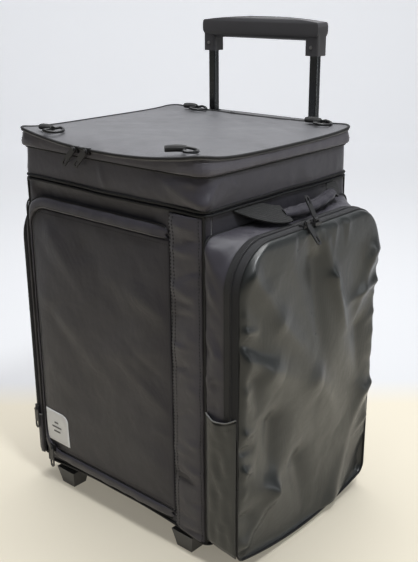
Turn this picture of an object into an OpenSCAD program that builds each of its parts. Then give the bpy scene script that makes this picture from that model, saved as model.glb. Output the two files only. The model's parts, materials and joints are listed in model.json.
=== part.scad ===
// Soft wheeled trolley bag: zipped lid, zipped front door, a full right side
// pocket, an empty left side pocket and a telescopic pull handle.
// Millimetres, +Z up. The origin is on the floor in the middle of the whole
// bag's bounding box. -Y is the front door, +Y the pull handle, +X the full
// pocket. Inside the modules the body's own middle is x = 0, y = 0.

/* [Body] */
// Width of the body, side to side
body_w = 350; // [340:5:380]
// Depth of the body, front to back
body_d = 312; // [304:4:340]
// Height of the padded body below the double piping
body_h = 473; // [465:2:485]
// Height of the collar above the double piping
collar_h = 46; // [40:1:60]
// Height of the band that carries the lid zip
band_h = 16; // [14:1:20]
// Thickness of the padded walls
wall = 6; // [5:0.5:7]
// Corner radius of the body seen from above
corner_r = 14; // [12:1:18]
// Gap between the body and the floor
ground = 28; // [28:1:30]

/* [Lid] */
// Thickness of the padded lid
lid_t = 5; // [4:0.5:7]
// How far the lid and its band stand out past the body
lid_out = 3.4; // [2:0.2:4]
// Corner radius of the lid seen from above
lid_r = 28; // [24:1:32]
// Width of the webbing tabs and length of their D-ring bars
tab_w = 25; // [20:1:25]
// Radius of the D-ring wire
ring_wire = 2; // [1.6:0.1:2.2]

/* [Front door] */
// Hinge line of the door, to the right of the middle
door_hinge_x = 115; // [105:5:125]
// Width of the door
door_w = 283; // [270:1:283]
// Height of the door
door_h = 398; // [380:2:400]
// Height of the door's lower edge above the body's lower edge
door_up = 33; // [30:1:40]
// Radius of the two zipped corners
door_r = 38; // [30:1:45]
// Width of the cover strip beside the door's zip
strip_w = 16; // [12:1:18]

/* [Side pockets] */
// Height of the pockets' lower edge above the body's lower edge
pocket_up = 10; // [10:1:14]
// Height of the pockets
pocket_h = 428; // [420:2:434]
// Radius of the pockets' zipped upper corners
pocket_r = 45; // [35:1:50]
// Full pocket: gusset, zip band, panel rim and panel crown, each as its distance from the body
full_steps = [31, 55, 60, 66];
// Full pocket: height of the fold line of its zipped panel above its lower edge
full_fold = 106; // [100:2:120]
// Full pocket: height of the slip pockets' open tops above its lower edge
slip_up = 200; // [150:5:220]
// Empty pocket: the same four distances
flat_steps = [7, 14, 18, 21];
// Empty pocket: height of its fold line, which sags lower
flat_fold = 74; // [70:2:80]

/* [Pull handle] */
// Spacing of the two handle tubes
tube_gap = 198; // [190:2:204]
// Exposed height of the inner tubes at rest
tube_show = 94; // [90:1:100]
// Width of the grip
grip_w = 222; // [220:2:226]
// Depth of the grip
grip_d = 26; // [24:1:28]
// Height of the grip bar at its middle
grip_h = 33; // [32:1:36]

/* [Running gear] */
// Radius of the wheels
wheel_r = 28; // [28:1:30]
// Width of the tyres
tyre_w = 22; // [20:1:22]
// Radius of the wheel axles
axle_r = 3; // [2.5:0.1:3.5]

/* [Hidden] */
$fn = 48;

half_w = body_w / 2;
half_d = body_d / 2;
z_seam = ground + body_h;
z_band = z_seam + collar_h;
z_lid = z_band + band_h;
z_top = z_lid + lid_t;
z_door = ground + door_up;
z_pocket = ground + pocket_up;
gap = 1;             // clearance around a moving fabric panel
skin = 3;            // thickness of the pocket fabric and its lining
door_t = 9;          // the door is padded and stands out past its frame
door_proud = 3;
strip_t = 4;
piping_out = 1.6;
piping_h = 2;
full_slip = 8.5;     // depth of the full pocket's slip pockets
flat_slip = 3.5;     // depth of the empty pocket's slip pockets
slip_skin = 1.6;
tube_y = half_d + 20;
sleeve_d = 34;       // how far the cover over the tubes stands out
sleeve_w = 232;
bracket_h = 21;
z_bracket = z_band - 2;
cover_bottom = ground + 42;
outer_size = [22, 19];
mid_size = [19, 16];
inner_size = [14, 11];
tube_wall = 1;
z_grip = z_top + tube_show;
sleeve_size = 24;    // moulded sockets of the grip
socket_h = 21;
grip_top = z_grip + socket_h + grip_h;
button_size = [54, 14, 14];
button_travel = 3;
wheel_x = half_w - 35;
wheel_y = half_d - 6;
bay_w = 37;
bay_y = half_d - 44;
bay_h = 40.5;
foot_x = half_w - 47;
foot_y = -half_d + 16;
foot_base = [28, 24];
foot_top = [40, 34];
ring_half = tab_w / 2 + ring_wire + 0.2;
ring_leg = 2.5;
ring_tilt = 8;
loop_r = ring_wire + 2.5;
ring_z = z_top + loop_r;
tab_len = 28;
// Each tab: middle of its D-ring bar, and the way the ring points seen from above
tabs = [[-122, -143, 0], [128, -139, 42], [-112, 146, 0], [132, 145, 0]];
grab_axis = [half_w + 2, z_seam - 6.5];
grab_droop = 33;
grab_leg_t = 2.4;
grab_pad = [14, 120, 11];
grab_pad_u = 22;
slider_size = [13, 4, 9];
pull_len = 34;
pull_w = 8.5;
pull_t = 1.8;
stud_r = 1.1;
stud_h = slider_size[1] + pull_t + 1.9;
bar_h = slider_size[1] + 3;
bar_back = 4;        // how far the front slider's body sits behind the bar of its hanging pull
slider_z = z_band + band_h / 2;
lid_zip_y = -half_d - lid_out - 0.1;
lid_sliders_x = [-52, -28];
lid_pull_lean = 45;
door_slider_at = [-149, -half_d - strip_t - 0.1, z_door + 3];
side_slider_at = [-half_w - 11, -half_d - 0.1, z_pocket + flat_fold + 8];
top_zip_x = half_w + 56;
top_zip_z = z_pocket + pocket_h + 0.4;
top_sliders_y = [-21, -1];
pull_hang = 50;
pull_raise = 60;
// The whole bag's extents from the body's middle
extent_right = top_zip_x + pull_len * cos(pull_hang) + pull_t / 2;
extent_left = grab_axis[0] + (grab_pad_u + grab_pad[0] / 2) * cos(grab_droop) + grab_pad[2] / 2 * sin(grab_droop);
extent_rear = half_d + sleeve_d;
extent_front = half_d + strip_t + 0.1 + stud_h;
shift_x = (extent_right - extent_left) / 2;
shift_y = (extent_rear - extent_front) / 2;

// ---- Placing ----

// From the body's own middle to the origin on the floor
module bag() translate([-shift_x, -shift_y, 0]) children();

// A flat outline in Y and Z, given thickness along X
module along_x(from, to) translate([from, 0, 0]) rotate([90, 0, 90]) linear_extrude(to - from) children();

// A flat outline in X and Z, given thickness along Y
module along_y(from, to) translate([0, to, 0]) rotate([90, 0, 0]) linear_extrude(to - from) children();

module side(s) mirror([s < 0 ? 1 : 0, 0, 0]) children();

// ---- Shapes that repeat ----

module round_rect(w, d, r) {
    square([w - 2 * r, d], center = true);
    square([w, d - 2 * r], center = true);
    for (x = [-1, 1], y = [-1, 1])
        translate([x * (w / 2 - r), y * (d / 2 - r)]) circle(r);
}

// Upright prism with the body's outline, larger by grow on every side
module body_prism(from, to, grow = 0, r = corner_r)
    translate([0, 0, from]) linear_extrude(to - from)
        round_rect(body_w + 2 * grow, body_d + 2 * grow, r);

module half_space_above(z) translate([-400, -400, z]) cube(800);

// Everything in front of the front wall's inner face
module front_slab() translate([-300, -half_d - 100, 0]) cube([600, 100 + wall, z_seam + 50]);

// Outline of the door in X and Z, larger by grow except at the hinge line
module door_outline(grow = 0) {
    w = door_w + grow;
    h = door_h + 2 * grow;
    r = door_r + grow;
    translate([door_hinge_x, z_door - grow]) {
        translate([-w + r, 0]) square([w - r, h]);
        translate([-w, r]) square([r, h - 2 * r]);
        for (z = [r, h - r]) translate([-w + r, z]) circle(r);
    }
}

// Outline of a side pocket in Y and Z, smaller by inset, with upper corners of radius r
module pocket_outline(inset = 0, r = pocket_r) {
    low = 12 - inset / 2;
    w = body_d - 2 * inset;
    bottom = z_pocket + inset;
    top = z_pocket + pocket_h - inset;
    translate([-w / 2, bottom + low]) square([w, top - r - bottom - low]);
    translate([-w / 2 + r, top - r - 1]) square([w - 2 * r, r + 1]);
    translate([-w / 2 + low, bottom]) square([w - 2 * low, low + 1]);
    for (s = [-1, 1]) {
        translate([s * (w / 2 - r), top - r]) circle(r);
        translate([s * (w / 2 - low), bottom + low]) circle(low);
    }
}

module tube(size, from, to) translate([0, 0, from]) linear_extrude(to - from) difference() {
    round_rect(size[0], size[1], 2.5);
    round_rect(size[0] - 2 * tube_wall, size[1] - 2 * tube_wall, 1.5);
}

// ---- Body ----

module wheel_bay(s) translate([s * wheel_x - bay_w / 2, bay_y - 0.5, ground - 1])
    cube([bay_w, half_d - bay_y + 2, bay_h + 1]);

module main_shell() color([0.20, 0.20, 0.21]) bag() difference() {
    body_prism(ground, z_seam);
    body_prism(ground + wall, z_seam + 1, -wall, corner_r - wall);
    front_slab();
    for (s = [-1, 1]) wheel_bay(s);
}

module front_frame() color([0.19, 0.19, 0.20]) bag() difference() {
    intersection() {
        body_prism(ground, z_seam);
        front_slab();
    }
    along_y(-half_d - 1, -half_d + wall + 1) door_outline(gap);
}

module collar() color([0.20, 0.20, 0.21]) bag() difference() {
    body_prism(z_seam, z_band);
    body_prism(z_seam - 1, z_band + 1, -wall, corner_r - wall);
}

module zip_band() color([0.22, 0.22, 0.23]) bag() difference() {
    body_prism(z_band, z_lid, lid_out, lid_r);
    body_prism(z_band - 1, z_lid + 1, -wall, lid_r - wall - lid_out);
}

// Two piping cords, one on each side of the seam, open behind where the handle's cover sits
module seam_piping() color([0.12, 0.12, 0.13]) bag() difference() {
    for (z = [z_seam - 4, z_seam + 1]) body_prism(z, z + piping_h, piping_out);
    body_prism(z_seam - 10, z_seam + 10);
    translate([-sleeve_w / 2 - 2, half_d - 10, z_seam - 20]) cube([sleeve_w + 4, 40, 40]);
}

module base_board() color([0.10, 0.10, 0.10]) bag()
    translate([0, (bay_y - half_d) / 2 + 1, ground + wall]) linear_extrude(4)
        round_rect(body_w - 2 * wall - 10, body_d - (half_d - bay_y) - 20, 10);

// ---- Front door ----

module front_zip_strip() color([0.17, 0.17, 0.18]) bag() along_y(-half_d - strip_t, -half_d)
    intersection() {
        difference() {
            door_outline(gap + strip_w);
            door_outline(gap);
            translate([door_hinge_x, 0]) square(z_seam);
        }
        translate([-half_w + gap, 0]) square([body_w, z_seam]);
    }

module front_door() color([0.19, 0.19, 0.20]) bag()
    along_y(-half_d - door_proud, -half_d - door_proud + door_t) intersection() {
        door_outline();
        translate([-half_w, 0]) square([half_w + door_hinge_x - gap, z_seam]);
    }

module door_label() color([0.78, 0.79, 0.80]) bag()
    along_y(-half_d - door_proud - 0.8, -half_d - door_proud) intersection() {
        door_outline(-gap);
        translate([-163, ground + 48]) {
            square([54, 43]);
            square([42, 55]);
            translate([42, 43]) circle(12);
        }
    }

// ---- Side pockets, drawn on the right and mirrored for the left ----

module pocket_shell(steps, fold) difference() {
    union() {
        along_x(half_w, half_w + steps[0]) pocket_outline(0, 20);
        difference() {
            along_x(half_w + steps[0] - 1, half_w + steps[3]) pocket_outline();
            half_space_above(z_pocket + fold);
        }
    }
    along_x(half_w + skin, half_w + steps[3] - skin) pocket_outline(skin, 20 - skin);
}

module pocket_zip(steps, fold) intersection() {
    along_x(half_w + steps[0], half_w + steps[1]) difference() {
        pocket_outline();
        pocket_outline(skin, pocket_r - skin);
    }
    half_space_above(z_pocket + fold);
}

module pocket_flap(steps, fold) intersection() {
    union() {
        along_x(half_w + steps[1], half_w + steps[2]) pocket_outline();
        along_x(half_w + steps[2], half_w + steps[3]) pocket_outline(14, pocket_r - 14);
    }
    half_space_above(z_pocket + fold + gap);
}

// One slip pocket on the front gusset, open at the top
module slip_pocket(steps, top, depth) {
    from = half_w + skin;
    to = half_w + steps[3] - 2;
    low = z_pocket + 2;
    difference() {
        translate([from, -half_d - depth, low]) cube([to - from, depth, top - 2]);
        translate([from + slip_skin, -half_d - depth + slip_skin, low + slip_skin])
            cube([to - from - 2 * slip_skin, depth, top]);
    }
}

module slip_pair(steps, top, depth) {
    slip_pocket(steps, top, depth);
    mirror([0, 1, 0]) slip_pocket(steps, top, depth);
}

module right_pocket_shell() color([0.24, 0.24, 0.24]) bag() pocket_shell(full_steps, full_fold);
module right_pocket_zip() color([0.13, 0.13, 0.14]) bag() pocket_zip(full_steps, full_fold);
module right_pocket_flap() color([0.27, 0.28, 0.27]) bag() pocket_flap(full_steps, full_fold);
module right_slip_pockets() color([0.24, 0.24, 0.24]) bag()
    slip_pair(full_steps, slip_up, full_slip);
module left_pocket_shell() color([0.22, 0.22, 0.23]) bag() side(-1) pocket_shell(flat_steps, flat_fold);
module left_pocket_zip() color([0.13, 0.13, 0.14]) bag() side(-1) pocket_zip(flat_steps, flat_fold);
module left_pocket_flap() color([0.22, 0.22, 0.23]) bag() side(-1) pocket_flap(flat_steps, flat_fold);
module left_slip_pockets() color([0.22, 0.22, 0.23]) bag() side(-1)
    slip_pair(flat_steps, flat_fold, flat_slip);

// ---- Lid ----

module lid_prism(from, to, inset, r) body_prism(from, to, lid_out - inset, r);

module lid_panel() color([0.32, 0.33, 0.34]) bag() lid_prism(z_lid, z_top, 3, lid_r - 3);

module lid_piping() color([0.12, 0.12, 0.13]) bag() difference() {
    lid_prism(z_lid, z_lid + 3.5, 0, lid_r);
    lid_prism(z_lid - 1, z_top, 3, lid_r - 3);
}

// Webbing folded round the D-ring's bar and sewn down flat behind it
module tab(t) translate([t[0], t[1], z_top]) rotate([0, 0, t[2]]) difference() {
    union() {
        translate([-tab_len, -tab_w / 2, 0]) cube([tab_len, tab_w, 2.4]);
        translate([0, 0, loop_r]) rotate([90, 0, 0]) cylinder(r = loop_r, h = tab_w, center = true);
    }
    translate([0, 0, loop_r]) rotate([90, 0, 0])
        cylinder(r = ring_wire + 0.1, h = tab_w + 2, center = true);
}

module lid_tabs() color([0.05, 0.05, 0.05]) bag() for (t = tabs) tab(t);

module d_ring(t) color([0.06, 0.06, 0.07]) bag()
    translate([t[0], t[1], ring_z]) rotate([0, ring_tilt, t[2]]) {
        rotate([90, 0, 0]) cylinder(r = ring_wire, h = 2 * ring_half, center = true);
        for (y = [-ring_half, ring_half]) translate([0, y, 0]) {
            sphere(ring_wire);
            rotate([0, 90, 0]) cylinder(r = ring_wire, h = ring_leg);
        }
        translate([ring_leg, 0, 0]) rotate([0, 0, -90]) rotate_extrude(angle = 180)
            translate([ring_half, 0]) circle(ring_wire);
    }

module d_ring_front_left() d_ring(tabs[0]);
module d_ring_front_right() d_ring(tabs[1]);
module d_ring_rear_left() d_ring(tabs[2]);
module d_ring_rear_right() d_ring(tabs[3]);

// ---- Grab handles ----

// Two webbing legs and a padded wrap in one plane that droops from the side seam
module grab_handle() translate([grab_axis[0], 0, grab_axis[1]]) rotate([0, grab_droop, 0]) {
    linear_extrude(grab_leg_t, center = true) {
        polygon([[0, -88], [0, -52], [15, -8], [28, -8], [28, -26]]);
        polygon([[0, 98], [0, 124], [22, 112], [28, 98], [15, 94]]);
    }
    translate([grab_pad_u, 44, 0]) linear_extrude(grab_pad[2], center = true)
        round_rect(grab_pad[0], grab_pad[1], 6);
}

module right_grab_handle() color([0.10, 0.10, 0.11]) bag() grab_handle();
module left_grab_handle() color([0.10, 0.10, 0.11]) bag() side(-1) grab_handle();

// ---- Pull handle ----

module at_tube(s) translate([s * tube_gap / 2, tube_y, 0]) children();

module outer_tube(s) color([0.35, 0.36, 0.37]) bag() at_tube(s) tube(outer_size, ground + 14, z_bracket);
module mid_tube(s) color([0.10, 0.10, 0.11]) bag() at_tube(s) tube(mid_size, z_bracket - 290, z_lid + 4);
module inner_tube(s) color([0.10, 0.10, 0.11]) bag() at_tube(s)
    tube(inner_size, z_bracket - 175, z_grip + socket_h);

module outer_tube_left() outer_tube(-1);
module outer_tube_right() outer_tube(1);
module mid_tube_left() mid_tube(-1);
module mid_tube_right() mid_tube(1);
module inner_tube_left() inner_tube(-1);
module inner_tube_right() inner_tube(1);

// Fabric cover sewn to the back, open towards the body
module rear_cover() color([0.20, 0.20, 0.21]) bag() difference() {
    translate([-sleeve_w / 2, half_d, cover_bottom]) cube([sleeve_w, sleeve_d, z_bracket - cover_bottom]);
    translate([-sleeve_w / 2 + 2, half_d - 1, cover_bottom - 1])
        cube([sleeve_w - 4, sleeve_d - 1, z_bracket - cover_bottom + 2]);
}

module top_bracket() color([0.06, 0.06, 0.07]) bag() difference() {
    translate([0, (half_d + lid_out + 1 + extent_rear) / 2, z_bracket]) linear_extrude(bracket_h)
        round_rect(sleeve_w - 4, extent_rear - half_d - lid_out - 1, 8);
    for (s = [-1, 1]) at_tube(s) translate([0, 0, z_bracket - 1]) linear_extrude(bracket_h + 2)
        round_rect(mid_size[0] + 0.4, mid_size[1] + 0.4, 2.6);
    // room for the lid's rear edge as it turns up
    translate([0, half_d + lid_out, z_lid]) rotate([0, 90, 0])
        cylinder(r = 7, h = sleeve_w, center = true);
}

module base_bar() color([0.06, 0.06, 0.07]) bag() difference() {
    translate([0, half_d + sleeve_d / 2 - 0.5, ground + 6]) linear_extrude(cover_bottom - ground - 6)
        round_rect(sleeve_w, sleeve_d - 1, 8);
    for (s = [-1, 1]) at_tube(s) translate([0, 0, ground + 14]) linear_extrude(cover_bottom)
        round_rect(outer_size[0], outer_size[1], 2.5);
}

module frame_screws() color([0.30, 0.30, 0.31]) bag() {
    for (x = [-70, -35, 35, 70]) translate([x, extent_rear - 1, ground + 22])
        rotate([-90, 0, 0]) cylinder(r = 4, h = 1);
    for (x = [-60, 60]) translate([x, tube_y, z_bracket + bracket_h]) cylinder(r = 3.5, h = 1.6);
}

// Crowned bar with rounded ends, and a socket under each end for the tube
module grip() color([0.09, 0.09, 0.10]) bag() translate([0, tube_y, 0]) difference() {
    union() {
        intersection() {
            along_y(-grip_d / 2, grip_d / 2) intersection() {
                translate([0, grip_top - grip_h / 2]) round_rect(grip_w, grip_h, 14);
                translate([0, grip_top - 880]) circle(880, $fn = 360);
            }
            along_x(-grip_w / 2, grip_w / 2) translate([0, grip_top - grip_h / 2])
                round_rect(grip_d, grip_h, 9);
        }
        for (s = [-1, 1]) translate([s * tube_gap / 2, 0, z_grip]) linear_extrude(socket_h + 14)
            round_rect(sleeve_size, sleeve_size, 5);
    }
    for (s = [-1, 1]) translate([s * tube_gap / 2, 0, z_grip - 1]) linear_extrude(socket_h + 1)
        round_rect(inner_size[0], inner_size[1], 2.5);
    translate([0, 0, grip_top - button_size[2] - button_travel - 3]) linear_extrude(50)
        round_rect(button_size[0] + 1, button_size[1] + 1, 6.5);
}

module grip_screws() color([0.25, 0.25, 0.26]) bag() for (s = [-1, 1])
    translate([s * tube_gap / 2, tube_y - sleeve_size / 2, z_grip + 12]) rotate([90, 0, 0])
        cylinder(r = 2.6, h = 1);

module release_button() color([0.03, 0.03, 0.03]) bag()
    translate([0, tube_y, grip_top - button_size[2] - 2]) linear_extrude(button_size[2])
        round_rect(button_size[0], button_size[1], 6);

// ---- Wheels and feet ----

module at_wheel(s) translate([s * wheel_x, wheel_y, wheel_r]) rotate([0, 90, 0]) children();

module wheel_housing(s) color([0.05, 0.05, 0.05]) bag() difference() {
    translate([s * wheel_x - bay_w / 2 + 0.5, bay_y, wheel_r - 10])
        cube([bay_w - 1, 58, ground + bay_h - wheel_r + 9.5]);
    at_wheel(s) cylinder(r = wheel_r + 3.5, h = tyre_w + 6, center = true);
    translate([s * wheel_x - tyre_w / 2 - 3, wheel_y - wheel_r - 3.5, -1])
        cube([tyre_w + 6, 2 * wheel_r + 7, wheel_r + 1]);
    at_wheel(s) cylinder(r = axle_r + 0.05, h = bay_w + 2, center = true);
}

module tyre(s) color([0.04, 0.04, 0.04]) bag() at_wheel(s) rotate_extrude()
    translate([wheel_r - 4.5, 0]) round_rect(9, tyre_w, 3);

module hub(s) color([0.12, 0.12, 0.13]) bag() at_wheel(s) rotate_extrude() {
    translate([axle_r + 0.05, -tyre_w / 2 - 1]) square([4, tyre_w + 2]);
    translate([axle_r + 1, -3]) square([wheel_r - 10 - axle_r, 6]);
    translate([wheel_r - 12, -tyre_w / 2 + 1]) square([3, tyre_w - 2]);
}

module axle_pins() color([0.55, 0.56, 0.57]) bag() for (s = [-1, 1])
    at_wheel(s) cylinder(r = axle_r, h = bay_w - 1, center = true);

module wheel_housing_left() wheel_housing(-1);
module wheel_housing_right() wheel_housing(1);
module tyre_left() tyre(-1);
module tyre_right() tyre(1);
module hub_left() hub(-1);
module hub_right() hub(1);

// Block that narrows downwards on all four sides
module foot(s) color([0.05, 0.05, 0.05]) bag() translate([s * foot_x, foot_y, 0]) intersection() {
    along_x(-foot_top[0], foot_top[0]) polygon([
        [-foot_base[1] / 2, 0], [foot_base[1] / 2, 0], [foot_top[1] / 2, ground], [-foot_top[1] / 2, ground]]);
    along_y(-foot_top[1], foot_top[1]) polygon([
        [-foot_base[0] / 2, 0], [foot_base[0] / 2, 0], [foot_top[0] / 2, ground], [-foot_top[0] / 2, ground]]);
}

module foot_left() foot(-1);
module foot_right() foot(1);

// ---- Zip sliders and pulls ----
// A slider runs along local X on a tape that faces -Y. A flat pull swivels on the slider's
// stud, about local Y. A hinged pull turns about the slider's cross bar, along local X.

module slider_block() translate([-slider_size[0] / 2, -slider_size[1], -slider_size[2] / 2])
    cube(slider_size);

module stud_slider() color([0.07, 0.07, 0.08]) {
    slider_block();
    translate([0, -slider_size[1] + 0.5, 0]) rotate([90, 0, 0]) cylinder(r = stud_r, h = pull_t + 1.2);
    translate([0, 1.2 - stud_h, 0]) rotate([90, 0, 0]) cylinder(r = 2.6, h = 1.2);
}

module bar_slider(back = 0) color([0.07, 0.07, 0.08]) {
    translate([0, 0, back]) slider_block();
    for (x = [-4.6, 4.6]) translate([x - 0.8, -slider_size[1] - 4.2, -1.5]) cube([1.6, 4.7, 3]);
    translate([0, -bar_h, 0]) rotate([0, 90, 0]) cylinder(r = stud_r, h = 9, center = true);
}

module pull_blade(from) difference() {
    union() {
        translate([-pull_w / 2, -pull_t / 2, -pull_len + pull_w / 2])
            cube([pull_w, pull_t, pull_len - pull_w / 2 - from]);
        translate([0, 0, -pull_len + pull_w / 2]) rotate([90, 0, 0])
            cylinder(r = pull_w / 2, h = pull_t, center = true);
    }
    for (z = [-pull_len + 5, -pull_len + 11]) translate([0, 0, z]) rotate([90, 0, 0])
        cylinder(r = 1.8, h = pull_t + 2, center = true);
    translate([-1.8, -pull_t, -pull_len + 5]) cube([3.6, 2 * pull_t, 6]);
}

module stud_pull() color([0.07, 0.07, 0.08]) translate([0, -slider_size[1] - pull_t / 2 - 0.25, 0])
    difference() {
        union() {
            pull_blade(0);
            rotate([90, 0, 0]) cylinder(r = 3.6, h = pull_t, center = true);
        }
        rotate([90, 0, 0]) cylinder(r = stud_r + 0.1, h = pull_t + 2, center = true);
    }

module bar_pull(angle) color([0.07, 0.07, 0.08]) translate([0, -bar_h, 0])
    rotate([angle, 0, 0]) difference() {
        union() {
            pull_blade(5);
            translate([-3.2, -pull_t / 2, -6]) cube([6.4, pull_t, 5]);
            rotate([0, 90, 0]) cylinder(r = 2.3, h = 6.4, center = true);
        }
        rotate([0, 90, 0]) cylinder(r = stud_r + 0.1, h = 12, center = true);
    }

module on_lid_zip(i) bag() translate([lid_sliders_x[i], lid_zip_y, slider_z]) children();
module on_door_zip() bag() translate(door_slider_at) children();
module on_side_zip() bag() translate(side_slider_at) rotate([0, 90, 0]) children();

// On top of the full pocket: local X runs along the zip, local -Y is up and local -Z points
// away from the body (turn = 1) or towards it (turn = -1)
module on_top_zip(i, turn) bag() translate([top_zip_x, top_sliders_y[i], top_zip_z])
    rotate([-90, 0, 90 * turn]) children();

module lid_slider_left() on_lid_zip(0) stud_slider();
module lid_slider_right() on_lid_zip(1) stud_slider();
module lid_pull_left() on_lid_zip(0) rotate([0, lid_pull_lean, 0]) stud_pull();
module lid_pull_right() on_lid_zip(1) rotate([0, lid_pull_lean, 0]) stud_pull();
module door_slider() on_door_zip() stud_slider();
module door_pull() on_door_zip() stud_pull();
module side_slider() on_side_zip() stud_slider();
module side_pull() on_side_zip() rotate([0, -90, 0]) stud_pull();
module pocket_slider_front() on_top_zip(0, 1) bar_slider(bar_back);
module pocket_pull_front() on_top_zip(0, 1) bar_pull(pull_hang);
module pocket_slider_rear() on_top_zip(1, -1) bar_slider();
module pocket_pull_rear() on_top_zip(1, -1) bar_pull(-pull_raise);

// ---- Nodes ----

main_shell();
front_frame();
collar();
zip_band();
seam_piping();
base_board();
front_zip_strip();
front_door();
door_label();
right_pocket_shell();
right_pocket_zip();
right_pocket_flap();
right_slip_pockets();
left_pocket_shell();
left_pocket_zip();
left_pocket_flap();
left_slip_pockets();
lid_panel();
lid_piping();
lid_tabs();
d_ring_front_left();
d_ring_front_right();
d_ring_rear_left();
d_ring_rear_right();
right_grab_handle();
left_grab_handle();
rear_cover();
top_bracket();
base_bar();
frame_screws();
outer_tube_left();
outer_tube_right();
mid_tube_left();
mid_tube_right();
inner_tube_left();
inner_tube_right();
grip();
grip_screws();
release_button();
wheel_housing_left();
wheel_housing_right();
axle_pins();
tyre_left();
tyre_right();
hub_left();
hub_right();
foot_left();
foot_right();
lid_slider_left();
lid_pull_left();
lid_slider_right();
lid_pull_right();
pocket_slider_rear();
pocket_pull_rear();
pocket_slider_front();
pocket_pull_front();
side_slider();
side_pull();
door_slider();
door_pull();
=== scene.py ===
import json
import math

import bpy
import numpy as np
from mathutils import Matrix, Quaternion, Vector


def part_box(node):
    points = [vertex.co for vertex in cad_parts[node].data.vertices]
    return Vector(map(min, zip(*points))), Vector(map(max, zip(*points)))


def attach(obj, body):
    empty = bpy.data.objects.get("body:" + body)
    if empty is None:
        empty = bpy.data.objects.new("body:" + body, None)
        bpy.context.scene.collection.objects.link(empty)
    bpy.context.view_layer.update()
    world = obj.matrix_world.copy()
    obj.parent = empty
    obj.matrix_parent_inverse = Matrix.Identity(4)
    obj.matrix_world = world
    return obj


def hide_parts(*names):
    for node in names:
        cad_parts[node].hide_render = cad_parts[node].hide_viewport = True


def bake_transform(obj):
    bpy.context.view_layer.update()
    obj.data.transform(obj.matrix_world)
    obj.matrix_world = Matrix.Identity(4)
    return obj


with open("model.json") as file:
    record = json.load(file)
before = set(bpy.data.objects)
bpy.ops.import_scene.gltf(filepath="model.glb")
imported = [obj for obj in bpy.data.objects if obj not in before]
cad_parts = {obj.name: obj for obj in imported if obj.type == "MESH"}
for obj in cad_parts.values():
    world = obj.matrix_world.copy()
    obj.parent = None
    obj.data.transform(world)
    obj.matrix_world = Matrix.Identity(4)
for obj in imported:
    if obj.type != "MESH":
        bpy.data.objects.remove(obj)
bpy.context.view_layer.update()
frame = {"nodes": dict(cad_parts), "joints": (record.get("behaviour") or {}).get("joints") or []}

# Every shape below is worked out in millimetres from the middle of the bag's body, with z = 0 on
# the floor: +x is the full pocket, -y the front door. place() takes it to the frame's metres.
MM = 0.001
collar_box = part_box("collar")
MIDDLE = np.array([*((collar_box[0] + collar_box[1]) / 2).xy, 0.0])


def cad(node):
    """Lowest and highest corner of a CAD node, in millimetres from the middle of the body."""
    return [(np.array(corner) - MIDDLE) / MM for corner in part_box(node)]


def place(points):
    return np.asarray(points, float) * MM + MIDDLE


def joint_at(name):
    """Where a CAD joint is, in the same millimetres."""
    joint = next(j for j in frame["joints"] if j["name"] == name)
    return (np.array(joint["pos_m"]) - MIDDLE) / MM


half_w, half_d, z_band = cad("collar")[1]
z_seam = cad("collar")[0][2]
z_base = cad("main_shell")[0][2]
lid_w, lid_d = (cad("lid_piping")[1] + 2)[:2]
z_lid = cad("lid_piping")[0][2]
CORNER_R = 14        # corners of the body seen from above
LID_R = 19           # corners of the lid
CELL = 3.4           # size of the cloth's squares
grids = {}


# ---- Meshes from grids of points ----

def grid_faces(nu, nv, closed=False):
    u = np.arange(nu if closed else nu - 1)[:, None]
    v = np.arange(nv - 1)[None, :]
    here, there = u * nv + v, (u + 1) % nu * nv + v
    return np.stack([here, there, there + 1, here + 1], -1).reshape(-1, 4)


def new_mesh(name, verts, faces):
    data = bpy.data.meshes.new(name)
    data.from_pydata(verts.tolist(), [], [list(map(int, f)) for f in faces])
    data.polygons.foreach_set("use_smooth", [True] * len(data.polygons))
    data.update()
    return data


def linked(name, data):
    """An object for the data, in the scene."""
    made = bpy.data.objects.new(name, data)
    bpy.context.scene.collection.objects.link(made)
    return made


def mesh(name, verts, faces, material, body=None, slot=None):
    piece = linked(name, new_mesh(name, place(verts), faces))
    piece.data.materials.append(material)
    if body:
        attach(piece, body)
    return piece


def trim(name, parts, body="bag"):
    """Thin black cords, as one piece."""
    return mesh(name, *joined(parts), TRIM, body, "trim")


def sewing(name, rows, body="bag"):
    """Rows of stitches, as one piece."""
    return mesh(name, *joined(rows), THREAD, body, "trim")


def patch(name, points, material, body=None, slot=None, closed=False, flip=False, keep=None):
    """A piece from a grid of points, nu by nv, which goes once round in u if closed."""
    nu, nv = points.shape[:2]
    faces = grid_faces(nu, nv, closed)
    if flip:
        faces = faces[:, ::-1]
    verts = points.reshape(-1, 3)
    if keep is not None:
        faces = faces[keep(verts[faces].mean(1))]
    piece = mesh(name, verts, faces, material, body, slot)
    grids[name] = (nu, nv)
    return piece


def points_of(piece):
    co = np.zeros(len(piece.data.vertices) * 3)
    piece.data.vertices.foreach_get("co", co)
    return ((co.reshape(-1, 3) - MIDDLE) / MM).reshape(*grids[piece.name], 3)


def set_points(piece, points):
    piece.data.vertices.foreach_set("co", place(points).astype(np.float32).ravel())
    piece.data.update()


def thicken(piece, thickness, lining=None):
    """Gives a piece thickness on its inner side, with the lining's material there."""
    solid = piece.modifiers.new("thickness", "SOLIDIFY")
    solid.thickness, solid.offset = thickness * MM, -1
    if lining:
        piece.data.materials.append(lining)
        solid.material_offset = 1
    return piece


def unit(vectors):
    return vectors / np.maximum(np.linalg.norm(vectors, axis=-1, keepdims=True), 1e-9)


def normals(points):
    """Outward normals of a grid of points."""
    return unit(np.cross(np.gradient(points, axis=0), np.gradient(points, axis=1)))


def xyz(points):
    """Views of the points' x, y and z: a change to one of them changes the points."""
    return np.moveaxis(points, -1, 0)


def clip01(values):
    return np.clip(values, 0, 1)


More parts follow.
